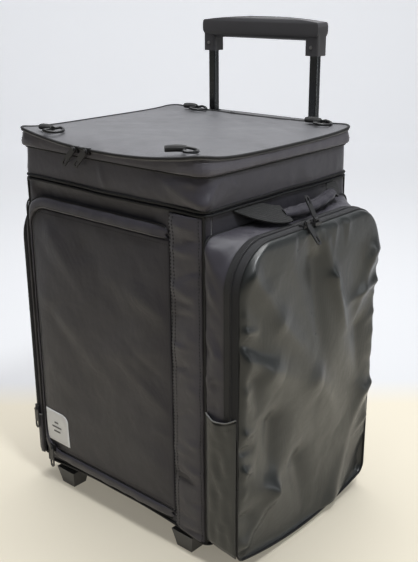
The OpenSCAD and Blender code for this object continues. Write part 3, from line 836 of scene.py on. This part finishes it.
def corner_strip():
    """The padded strip between the door's hinge line and the corner of the body."""
    hinge_x = door_lines()[0]
    level = np.linspace((hinge_x + 3, -half_d), (half_w - CORNER_R, -half_d), 16)
    turn = level[-1] + (0, CORNER_R) + CORNER_R * around(np.radians(np.linspace(-90, -46, 5)))
    flat = np.vstack([level, turn[1:]])
    points = standing(flat, np.arange(z_base + 2, z_seam - 3, 2.6))
    x, y, z = xyz(points)
    share = np.linspace(0, 1, len(flat))[:, None]
    lines, rng = [], np.random.default_rng(43)
    for at in np.arange(z_base + 14, z_seam - 8, 11):
        start, height, wide = at + rng.uniform(-5, 5), rng.uniform(-3.6, 4.4), rng.uniform(6, 13)
        if rng.random() < 0.5:
            edge, end = hinge_x + 2, hinge_x + rng.uniform(35, 70)
        else:
            edge, end = half_w - 2, half_w - rng.uniform(30, 60)
        lines.append((edge, start, end, start + rng.uniform(-16, 16), wide, height))
    puff = 3.2 * np.sin(math.pi * share) ** 0.6
    y -= 0.6 + puff + (creases(points, (0, 2), lines) + 0.3 * swell(points * (0.4, 0, 1), 18, 41)) * (
        0.25 + np.sin(math.pi * share))
    z += clip01(1 - (z - z_base) / 40) * arch(x)
    piece = patch("front_corner_strip", points, SEAM_CLOTH, "bag", "body_fabric")
    return drape(piece, border(points), (0.03, 0, 0.045), 0.08, 4, bend=0.03)


def finish_strip(piece):
    rows = [stitches(*surface(piece, u=share), 4.8, 3.3, 1.5, 0.9) for share in (0.03, 0.15, 0.90)]
    sewing("hinge_line_stitching", rows)
    thicken(piece, 2, LINING)


def door_path(grow, high=0.0):
    """The door's free edge, from its hinge line above, round the zip side, to its hinge line below."""
    hinge_x, zip_x, low_z, high_z, r = door_lines()
    low, high_corner = (zip_x - grow, low_z - grow), (hinge_x + 40, high_z + grow)
    closed = outline(low, high_corner, [r + grow] * 4, (160, 120, 160, 120))
    line = section_of(closed, (hinge_x, high_z + grow), (hinge_x, low_z - grow))
    x, z = resample(line, count=300)[0].T
    return np.column_stack([x, front_y(np.clip(x, -half_w + 0.5, half_w)) - high, z])


def front_strip():
    """The cloth strip that covers the door's zip, sewn along its outer edge."""
    tapered = 0.3 + 0.7 * clip01(np.minimum(np.arange(300), np.arange(300)[::-1]) / 8)
    profile = ((0.8, 1.2), (0.3, 3.4), (1.3, 5.0), (3, 5.6), (6, 5.8), (10, 5.4), (13.4, 4.2),
               (15.6, 1.6), (16.6, 0.2))
    points = np.stack([door_path(out, high * tapered) for out, high in profile], 1)
    points[:, 1:-1, 1] -= 0.36 * swell(points[:, 1:-1] * (1, 0, 1), 34, 15)
    points[..., 0] = np.maximum(points[..., 0], -half_w - 0.5)
    piece = patch("door_zip_cover", points, SEAM_CLOTH, "bag", "trim", flip=True)
    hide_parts("front_zip_strip")
    cords = []
    for out, high, r in ((17.0, 0.7, 0.9), (0.9, 1.6, 1.0)):
        line = door_path(out, high)
        line[:, 0] = np.maximum(line[:, 0], -half_w - 0.5)
        cords.append(sweep(line, oval(r, sides=7), (0, 1, 0)))
    trim("door_zip_cover_cords", cords)
    sewing("door_zip_cover_stitching", [stitches(door_path(3.6, 5.9), (0, -1, 0))])
    thicken(piece, 1)


def door():
    hinge_x, zip_x, low_z, high_z, r = door_lines()
    t, z = np.linspace(0, 1, 84)[:, None], np.linspace(low_z, high_z, 118)
    left = zip_x + rounding(r, np.maximum(low_z + r - z, z - high_z + r))
    x = left[None] + t * (hinge_x + 2 - left)[None]
    s = (z - low_z) / (high_z - low_z)
    points = np.stack([x, 0 * x, np.broadcast_to(z, x.shape)], -1)
    crown = (1 - np.abs(2 * t - 1) ** 8) * (1 - np.abs(2 * s - 1) ** 10)
    lines = puckers((hinge_x, high_z), (hinge_x, low_z), (-1.0, 0.25), 52, 34, 34, 9, 2.4)
    seam = hinge_x - 2
    lines += [(seam, 350, -20, 395, 22, 3.6), (seam, 305, -60, 250, 30, 4),
              (zip_x + 8, 330, 30, 200, 40, 3.6), (seam, 215, 10, 268, 20, 3.6),
              (-120, 425, -40, 330, 26, 3), (seam, 120, -30, 160, 30, 3), (-130, 300, 0, 150, 34, -3),
              (-60, 430, 60, 300, 30, -2.6), (seam, 252, 20, 300, 12, -2.4)]
    depth = 2.2 + 0.9 * swell(points, 150, 51) + 0.3 * swell(points, 50, 53)
    depth += creases(points, (0, 2), lines)
    points[..., 1] = front_y(np.clip(x, -half_w, half_w - CORNER_R)) - 1.4 - crown * depth
    piece = patch("front_door_panel", points, BODY)
    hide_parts("front_door")
    return drape(piece, border(points), (0.012, 0, 0.012), 0.06, 6, bend=0.2)


def finish_door(piece):
    """Stitching, label and thickness of the door, once its cloth has settled."""
    rows = [stitches(*surface(piece, **at)) for at in ({"v": 0.018}, {"v": 0.982}, {"u": 0.022})]
    sewing("door_stitching", rows, "door")
    label(piece)
    thicken(piece, 5, LINING)
    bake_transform(piece)


def on_grid(piece, x, z):
    """Points and outward normals of a front-facing piece at given x and z."""
    points = points_of(piece)
    flat, ways = points.reshape(-1, 3), normals(points).reshape(-1, 3)
    found = []
    for px, pz in zip(np.ravel(x), np.ravel(z)):
        gap = (flat[:, 0] - px) ** 2 + (flat[:, 2] - pz) ** 2
        near = np.argpartition(gap, 6)[:6]
        weight = 1 / (gap[near] + 0.5)
        y, way = ((values[near].T * weight).sum(-1) / weight.sum() for values in (flat[:, 1], ways))
        found.append((px, y, pz, *way))
    found = np.array(found)
    return found[:, :3], unit(found[:, 3:])


def label(door_piece):
    """A woven label with one rounded corner, a stitched edge and a plain mark."""
    low, high = cad("door_label")
    cells, r = 22, 12
    z = np.linspace(low[2], high[2], cells)
    x = low[0] + np.linspace(0, 1, cells)[:, None] * (high[0] - low[0] - rounding(r, z - high[2] + r))[None]
    at, way = on_grid(door_piece, x, np.broadcast_to(z, x.shape))
    piece = patch("front_label", (at + 0.7 * way).reshape(cells, cells, 3), LABEL, "door", "label_white")
    thicken(piece, 0.7)
    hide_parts("door_label")
    rows = [stitches(*surface(piece, **{axis: share}), pitch=3, length=2)
            for axis in "uv" for share in (0.06, 0.94)]
    mesh("label_stitching", *joined(rows), LABEL, "door", "label_white")
    bars = []
    for height, width in ((0.36, 15), (0.50, 22), (0.64, 9)):
        x = (low[0] + high[0]) / 2 - 1 + np.linspace(-width / 2, width / 2, 8)
        line, way = on_grid(door_piece, x, np.full(8, low[2] + height * (high[2] - low[2])))
        bars.append(sweep(line + 0.85 * way, soft_box(1.3, 0.25, 0.2, 2), way))
    mesh("label_mark", *joined(bars), MARK, "door", "label_white")


# ---- Side pockets, built on the right and mirrored for the left ----

class Pocket:
    def __init__(self, name, side):
        self.name, self.side = name, side
        (_, _, self.low_z), (_, _, self.high_z) = cad(f"{name}_pocket_shell")
        self.fold_z = cad(f"{name}_pocket_flap")[0][2]
        self.zip_in, self.zip_out = self.reach(f"{name}_pocket_zip")
        self.face = self.reach(f"{name}_pocket_flap")[1]
        self.edge = self.zip_out - 1.5
        self.slip, self.slip_top = cad(f"{name}_slip_pockets")[1][1:]
        self.full = name == "right"
        self.drop = 29 if self.full else 3

    def reach(self, node):
        return sorted(abs(corner[0]) for corner in cad(node))

    def turned(self, points):
        return points * (self.side, 1, 1)

    def outline(self, r, inset=0):
        low = (-half_d + inset, self.low_z + inset)
        high = (half_d - inset, self.high_z - inset)
        return outline(low, high, (12, 12, r, r), (84, 100, 60, 100), arc=14)

    def patch(self, name, points, material, body, slot, **options):
        flip = options.pop("flip", False) ^ (self.side < 0)
        return patch(f"{self.name}_{name}", self.turned(points), material, body, slot, flip=flip, **options)

    def mesh(self, name, parts, material, body, slot):
        verts, faces = parts
        return mesh(f"{self.name}_{name}", self.turned(verts), [list(face)[::self.side] for face in faces],
                    material, body, slot)

    def cord(self, name, line, r, body, **options):
        self.mesh(name, cord(self.settle(line), r, (1, 0, 0), **options), TRIM, body, "trim")

    def settle(self, points):
        """The load hangs in the lower outer part of the pocket, and the top slopes down from the body."""
        points = np.array(points, float)
        x, y, z = xyz(points)
        out = clip01((x - half_w) / (self.edge - half_w))
        low = clip01(1 - (z - self.low_z) / 150) ** 1.6
        high = clip01(1 - (self.high_z - z) / 60)
        z -= self.drop * out * low * (0.3 + 0.7 * clip01(1 - (y / half_d) ** 2))
        z += (6 if self.full else 2) * (1 - out) ** 1.5 * high
        return points


TOP_R = 60           # rounded upper corners along the zip
BODY_R = 14          # rounded upper corners where the pocket meets the body


def rim_axis(total, rim):
    """Cells across a panel whose edges turn back: place across it and height of the turn, 0 to 1."""
    length = total - 2 * rim + math.pi * rim
    along = np.linspace(0, length, int(length / CELL) + 1)
    near = np.minimum(along, length - along)
    angle = np.clip(near / rim, 0, math.pi / 2)
    inset = np.where(near < math.pi / 2 * rim, rim * (1 - np.cos(angle)), near - (math.pi / 2 - 1) * rim)
    return np.where(along < length / 2, inset, total - inset), np.sin(angle)


def pocket_panel(p):
    """The pocket's outer face, one cloth from the lower seam to the zip."""
    rim = 9 if p.full else 5
    across_z, rise_z = rim_axis(p.high_z - p.low_z, rim)
    across_y, rise_y = rim_axis(2 * half_d, rim)
    z = p.low_z + across_z
    half = half_d - rounding(TOP_R, z - (p.high_z - TOP_R)) - rounding(12, p.low_z + 12 - z)
    y = (across_y[:, None] / half_d - 1) * half[None]
    rise = rise_y[:, None] * rise_z[None]
    points = np.stack([p.edge + (p.face - p.edge - 2) * rise, y, np.broadcast_to(z, y.shape)], -1)
    if p.full:  # the full pocket hangs fuller at the top and tucks in towards its foot
        points[..., 0] -= 13 * rise * clip01((250 - points[..., 2]) / 212) ** 1.4
    folds = panel_folds(p, points) if p.full else 0.5 * swell(points * (1, 1, 0.4), 90, 66)
    points[..., 0] += rise * folds
    piece = p.patch("pocket_panel", p.settle(points), POCKET, None, "pocket_fabric")
    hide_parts(f"{p.name}_pocket_flap")
    if p.full:
        return drape(piece, border(points), (0.012, 0.03, 0.022), 0.12, 9, bend=0.08)
    return drape(piece, border(points), (0.01, 0.02, 0.02), 0.05, 7, bend=0.06)


def panel_folds(p, points):
    """The full pocket's cloth: a soft bulge, long slanting folds, and gathers along the zip.
    Places are y and z."""
    side, top = half_d - 5, p.high_z - 6
    folds = [(-side, 326, -80, 281, 26, 8), (-105, 293, 10, 235, 34, 8), (0, 246, 80, 150, 38, 8),
             (-142, 434, -70, 344, 24, 7), (-82, 354, -8, 275, 28, 6), (16, 442, 41, 371, 12, 5),
             (34, 388, 75, 292, 13, 8), (-90, 120, -160, 142, 26, 9), (-90, 120, -120, 70, 20, 5),
             (25, 23, 124, 54, 20, 5), (60, 35, 112, 125, 26, 6), (137, 402, 90, 285, 20, 7),
             (side, 352, 64, 334, 11, 6), (-140, 60, -105, 92, 12, 5), (130, 180, 100, 110, 24, 5),
             (-88, 214, -86, 108, 28, -8), (-5, 418, 25, 232, 28, -7), (-22, 128, 5, 48, 28, -7),
             (-side, 344, -90, 308, 14, -6), (-134, 292, -124, 236, 20, -6), (108, 290, 120, 200, 24, -6)]
    folds += [(-side, z, -122, z - 6, 9, height)
              for z, height in ((361, 5), (221, 5), (196, -4), (168, 5), (100, -4))]
    along = half_d - TOP_R + 10
    folds += puckers((-along, top), (along, top), (0.15, -1.0), 61, 14, 40, 8, 2.0)
    for sign, seed in ((-1, 62), (1, 64)):
        seam = (sign * side, p.low_z + 12), (sign * side, p.high_z - TOP_R)
        folds += puckers(*seam, (-sign, -0.3), seed, 22, 30, 9, 2.6)
    _, y, z = xyz(points)
    by_pulls = np.exp(-((y + 50) / 75) ** 6) * clip01((z - p.high_z + 62) / 20)
    weight = 1.25 + 0.55 * clip01((260 - z) / 90)
    height = 2.0 * swell(points, 170, 63) + weight * creases(points, (1, 2), folds) - 3
    return np.where(height > -1, height * (1 - by_pulls) - by_pulls, height)


def pocket_gusset(p):
    """The cloth wall between the body and the panel, all round the pocket."""
    rows = []
    for x in np.linspace(half_w - 1, p.edge, max(6, int((p.edge - half_w) / CELL) + 1)):
        share = clip01((x - half_w) / (p.zip_in - half_w))
        flat = p.outline(BODY_R + (TOP_R - BODY_R) * share ** 0.8)
        rows.append(np.column_stack([np.full(len(flat), x), flat]))
    points = np.stack(rows, 1)
    x, y, _ = xyz(points)
    away = unit(points * (0, 1, 1) - (0, 0, (p.high_z + p.low_z) / 2))
    folds = 1.8 * swell(points * (1, 0.7, 0.7), 36, 71) + 1.1 * swell(points * (0.6, 1, 1), 17, 72)
    for z, to_x, to_z in ((452, 34, 400), (452, 50, 452), (420, 30, 370), (340, 34, 310), (280, 30, 300)):
        folds += creases(points, (0, 2), [(half_w, z, half_w + to_x, to_z, 13, 7)]) * (y < 0)
    across = np.sin(math.pi * clip01((x - half_w) / (p.zip_in - half_w)))
    points += away * (across * folds * (1 if p.full else 0.3))[..., None]
    points = p.settle(points)
    piece = p.patch("pocket_gusset", points, SEAM_CLOTH, "bag", "pocket_fabric", closed=True)
    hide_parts(f"{p.name}_pocket_shell")
    if p.full:
        pinned = border(points, "ud") | (points[..., 0] > p.zip_in)
        drape(piece, pinned, (0.05, 0.03, 0.03), 0.10, 8, bend=0.04)


def zip_path(p):
    """The zip's line, up one side of the pocket, over the top and down the other."""
    low = p.slip_top - 24
    line = section_of(p.outline(TOP_R), (half_d, low), (-half_d, low))
    return np.column_stack([np.full(len(line), (p.zip_in + p.edge) / 2 + 1), line])


def carried(line, ways, at):
    """Directions known along a line, taken over to other points along the same line."""
    far = far_along(line)
    index = np.linspace(0, 1, len(at)) * far[-1]
    return unit(np.stack([np.interp(index, far, axis) for axis in ways.T], -1))


def pocket_zip(p):
    """Zip tape with a raised spine, its teeth, and the stitching on both sides."""
    line = zip_path(p)
    out = unit(np.cross(unit(np.gradient(line, axis=0)), (1.0, 0, 0)))
    half = (p.zip_out - p.zip_in) / 2
    spine = min(2.6, half / 3)
    right = [(spine, 2.2), (spine + 1, 1.3), (half - 0.8, 1.5), (half, 0.3), (half, -0.6)]
    left = [(-a, b) for a, b in right[::-1]]
    section = left[1:] + right + left[:1]
    fine = resample(line, 3)[0]
    ways = carried(line, out, fine)
    tape = p.mesh("zip_tape", sweep(fine + 0.2 * ways, section, ways), TAPE, "bag", "zip_tape")
    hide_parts(f"{p.name}_pocket_zip")
    at = resample(line, 2.2)[0]
    up, lean = carried(line, out, at), 0.35 * np.gradient(at, axis=0) + (spine * 0.85, 0, 0)
    teeth = [sweep([centre - half_tooth, centre + half_tooth], soft_box(0.6, 0.5, 0.2, 1), way)
             for centre, half_tooth, way in zip(at + 2.5 * up, lean, up)]
    p.mesh("zip_teeth", joined(teeth), PLASTIC, "bag", "zip_tape")
    rows = [stitches(fine + 1.75 * ways + (offset, 0, 0), ways) for offset in (-half + 2.4, half - 2.4)]
    p.mesh("zip_stitching", joined(rows), THREAD, "bag", "trim")


def slip_pocket(p, front):
    """A small flat pocket on the gusset, open at its bound top edge."""
    near = p.edge - 0.5
    x = np.linspace(half_w + 2, near, max(7, int((near - half_w) / 2.8)))[:, None]
    t, s = np.linspace(0, 1, len(x))[:, None], np.linspace(0, 1, 36)
    depth = p.slip - half_d
    hem = p.slip_top - 1 + (6 * t - 8 * np.sin(math.pi * t) if p.full else 0 * t)
    z = p.low_z + 4 + (hem - p.low_z - 4) * s[None]
    bow = (0.25 + 0.75 * np.sin(math.pi * t) ** 0.6) * (0.35 + 0.65 * clip01(s[None] * 6) ** 0.5)
    points = np.stack([np.broadcast_to(x, z.shape), -half_d - 1 - 0.55 * depth * bow, z], -1)
    ripple = swell(points * (1, 1, 0.4), 24, 81) + 0.5 * swell(points * (1, 1, 1.4), 26, 82)
    points[..., 1] -= bow * np.sin(math.pi * t) ** 0.5 * (1.3 if p.full else 0.3) * ripple
    points = p.settle(points) * (1, 1 if front else -1, 1)
    word, cloth = "front" if front else "rear", POCKET if p.full else BODY
    piece = p.patch(f"{word}_slip_pocket", points, cloth, "bag", "pocket_fabric", flip=not front)
    spare = (0.10 if p.full else 0.02, 0, 0.03)
    return drape(piece, border(points, "lrd"), spare, 0.05, 0.4 * depth, bend=0.05)


def finish_slip(piece):
    points = points_of(piece)
    top = points[:, -1]
    away = np.array([0, np.sign(top[0, 1]), 0])
    sewing(piece.name + "_stitching", [stitches(points[:, -3] + 1.1 * away, away)])
    mesh(piece.name + "_hem", *sweep(top + 0.2 * away, oval(1.0, 1.3), away), HEM, "bag", "pocket_fabric")
    thicken(piece, 0.9)


def pocket_cords(p):
    """Piping along the panel's edge and where the gusset meets the body."""
    flat = p.outline(TOP_R)
    ends = [(-half_d, p.fold_z - 2), (half_d, p.fold_z - 2)]
    for word, cut, body in (("lower", ends, "bag"), ("upper", ends[::-1], f"{p.name}_flap")):
        part = section_of(flat, *cut)
        p.cord(f"{word}_edge_cord", np.column_stack([np.full(len(part), p.edge + 0.6), part]), 1.5, body)
    flat = p.outline(BODY_R, -0.3)
    line = np.column_stack([np.full(len(flat), half_w + 1.0), flat])
    p.cord("body_seam_cord", line, 1.2, "bag", closed=True)


def finish_panel(piece):
    thicken(piece, 1.2, LINING)
    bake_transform(piece)


# ---- Grab handles ----

GRAB_DROOP = math.radians(33)    # how far the handles hang below level at rest


def grab_handle(name, side):
    """A webbing strap whose middle is wrapped in padded cloth, drooping from the side seam."""
    joint = joint_at(f"grab_{name}_lift")
    out = np.array([side * math.cos(GRAB_DROOP), 0, -math.sin(GRAB_DROOP)])
    normal = np.array([side * math.sin(GRAB_DROOP), 0, math.cos(GRAB_DROOP)])
    origin = np.array([side * abs(joint[0]), 0, joint[2]])

    def line(spots):
        """Smooth line through places given as distances out from the seam and to the rear."""
        t = np.linspace(0, len(spots) - 1, 6 * len(spots))
        kernel = np.hanning(7) / np.hanning(7).sum()
        padded = (np.pad(np.interp(t, range(len(spots)), axis), 3, "edge") for axis in zip(*spots))
        a, b = (np.convolve(axis, kernel, "valid")[:, None] for axis in padded)
        return origin + a * out + b * (0, 1, 0)

    front = line([(-14, -92), (-6, -84), (5, -72), (14, -58), (21, -44), (25, -32), (26, -22)])
    rear = line([(17, 94), (14, 101), (9, 107), (3, 111), (-3, 114)])
    widths = np.interp(np.linspace(0, 1, len(front)), [0, 0.6, 1], [17, 18, 15])
    strap = sweep(front, np.stack([soft_box(w, 1.3, 0.8, 2) for w in widths]), normal)
    end = sweep(rear, soft_box(10, 1.3, 0.8, 2), normal)
    piece = mesh(f"{name}_grab_webbing", *joined([strap, end]), WEB, f"grab_{name}", "webbing")
    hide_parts(f"{name}_grab_handle")
    wrap_line = line([(25, -28), (27, -14), (28, 8), (27, 34), (24, 60), (19, 84), (15, 100)])
    share = np.linspace(0, 1, len(wrap_line))
    sizes = np.minimum(1, 0.70 + 1.9 * np.minimum(share, 1 - share))
    sizes = sizes * (1 + 0.06 * np.sin(share * 40) * np.sin(math.pi * share))
    fat = np.stack([soft_box(8.2, 4.8, 4.4, 5) * k for k in sizes])
    wrap = mesh(f"{name}_grab_pad", *sweep(wrap_line, fat, normal), BODY, f"grab_{name}", "webbing")
    seam = wrap_line[2:-2] + 5.0 * normal - 3 * out
    sewing(f"{name}_grab_stitching", [stitches(seam, normal)], f"grab_{name}")


# ---- The back ----

def rear_cover():
    """The cloth over the handle's tubes: it stands out over each tube and dips between them."""
    low, high = cad("rear_cover")
    half, deep, r = high[0], high[1], 9
    side = np.linspace((half, low[1] + 0.5), (half, deep - r), 8)[:-1]
    turn = (half - r, deep - r) + r * around(np.radians(np.linspace(0, 90, 5)))
    face = np.linspace((half - r, deep), (-half + r, deep), 62)[1:-1]
    flat = np.vstack([side, turn, face, turn[::-1] * (-1, 1), side[::-1] * (-1, 1)])
    points = standing(flat, np.linspace(low[2], high[2], 124))
    x, y, _ = xyz(points)
    dip = 7 * np.exp(-(np.abs(x) / 74) ** 6) * np.sin(math.pi * np.linspace(0.02, 0.98, 124))[None] ** 0.3
    y -= dip * (y > deep - 1)
    y += 0.8 * swell(points, 110, 91) * (y > deep - r)
    piece = patch("rear_cover_fabric", points, BODY, "bag", "body_fabric")
    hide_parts("rear_cover")
    return drape(piece, border(points), (0.025, 0.02, 0.02), 0.03, 6, bend=0.1)


def finish_rear(piece):
    lines = [{"v": 0.02}, {"v": 0.98}, {"u": 0.13}, {"u": 0.87}]
    sewing("rear_stitching", [stitches(*surface(piece, **at)) for at in lines])
    low, high = cad("rear_cover")
    heights = np.linspace(low[2], z_seam + 20, 100)
    lines = [standing([(side * (high[0] + 0.5), half_d + 1.5)], heights)[0] for side in (-1, 1)]
    trim("rear_cover_cords", [cord(line, 1.6, (1, 0, 0)) for line in lines])
    thicken(piece, 1.5, LINING)


# ---- Stage ----

FLOOR, NEAR_WALL, WALL = (0.515, 0.475, 0.39), (0.47, 0.475, 0.49), (0.93, 0.94, 0.97)


def stage():
    """A pale floor that curves up into a pale wall."""
    run, height, r, reach = 6.0, 4.5, 1.2, 6
    bend = (run - r, r) + r * around(np.radians(np.linspace(-90, 0, 13)))
    profile = [(-4.0, 0.0), *bend, (run, height)]
    ahead = np.array([-math.sin(AZIMUTH), math.cos(AZIMUTH), 0.0])
    across = np.array([math.cos(AZIMUTH), math.sin(AZIMUTH), 0.0])
    points = np.array([[ahead * a * 0.62 + across * b + np.array([0, 0, h]) for a, h in profile]
                       for b in np.linspace(-reach, reach, 5)])
    piece = linked("studio_floor", new_mesh("studio", points.reshape(-1, 3), grid_faces(*points.shape[:2])))
    n = Nodes("studio_paper")
    depth = n.add("ShaderNodeVectorMath", [(n.place, 0)], operation="DOT_PRODUCT")
    depth.inputs[1].default_value = ahead
    far = n.add("ShaderNodeMapRange", [(depth.outputs["Value"], "Value")], From_Min=0.25, From_Max=3.7)
    tint = n.ramp(far.outputs[0], [(0.0, FLOOR), (1.0, WALL), (0.03, NEAR_WALL)])
    paper = n.finish(Base_Color=tint, Roughness=0.75, Emission_Color=tint, Emission_Strength=0.40)
    piece.data.materials.append(paper)


# Where the picture is taken from, seen from the middle of the bag
AZIMUTH, ELEVATION, ROLL = (math.radians(a) for a in (41.68, 19.21, -0.42))
LENS = 55.18         # for a sensor 36 mm on the picture's long side
CAMERA = Vector((0.8221, -0.9135, 0.7669))


def camera():
    data = bpy.data.cameras.new("camera")
    data.lens, data.sensor_width = LENS, 36
    data.clip_start, data.clip_end = 0.05, 50
    eye = linked("camera", data)
    ahead = Vector((-math.sin(AZIMUTH) * math.cos(ELEVATION), math.cos(AZIMUTH) * math.cos(ELEVATION),
                    -math.sin(ELEVATION)))
    eye.location = CAMERA
    eye.rotation_mode = "QUATERNION"
    eye.rotation_quaternion = ahead.to_track_quat("-Z", "Y") @ Quaternion((0, 0, 1), ROLL)
    bpy.context.scene.camera = eye


def light(name, at, aim, size, power, colour=(1, 1, 1)):
    data = bpy.data.lights.new(name, "AREA")
    data.shape, data.size, data.size_y = "RECTANGLE", *size
    data.energy, data.color = power, colour
    lamp = linked(name, data)
    lamp.location = at
    lamp.rotation_mode = "QUATERNION"
    lamp.rotation_quaternion = (Vector(aim) - Vector(at)).to_track_quat("-Z", "Y")


def lights():
    light("overhead", (-0.2, 0.25, 2.1), (0, 0.05, 0.5), (1.6, 1.4), 50)
    light("key", (1.05, -0.35, 2.3), (0.2, 0, 0.3), (0.35, 0.35), 30, (0.95, 0.98, 1.0))
    light("right_window", (2.0, 0.95, 0.8), (0.24, 0, 0.3), (0.35, 1.3), 7, (0.94, 0.98, 1.0))
    light("front_lamp", (0.6, -2.2, 2.4), (0.1, 0, 0.3), (0.4, 0.9), 4, (0.94, 0.97, 1.0))
    world = bpy.data.worlds.new("studio")
    world.use_nodes = True
    shade = world.node_tree.nodes["Background"]
    shade.inputs["Color"].default_value = (0.95, 0.97, 1.0, 1)
    shade.inputs["Strength"].default_value = 0.08
    bpy.context.scene.world = world
    bpy.context.scene.view_settings.view_transform = "Standard"


# ---- Build ----

camera()
lights()
stage()
paint_cad()
body_tube()
front_frame()
bottom()
collar_piece, band_piece, lid_piece = collar(), lid_band(), lid()
strip_piece, door_piece, rear_piece = corner_strip(), door(), rear_cover()
front_strip()
pockets = [Pocket("right", 1), Pocket("left", -1)]
panels = [pocket_panel(p) for p in pockets]
for p in pockets:
    pocket_gusset(p)
slips = [(p, slip_pocket(p, front)) for p in pockets for front in (True, False)]
run_cloth()

thicken(collar_piece, 3, LINING)
thicken(band_piece, 3, LINING)
thicken(lid_piece, 4, LINING)
lid_hinge_blend(lid_piece)
lid_tabs()
piping()
finish_door(door_piece)
finish_strip(strip_piece)
finish_rear(rear_piece)
for p, panel in zip(pockets, panels):
    finish_panel(panel)
    pocket_zip(p)
    pocket_cords(p)
for p, slip in slips:
    finish_slip(slip)
    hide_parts(f"{p.name}_slip_pockets")
grab_handle("right", 1)
grab_handle("left", -1)
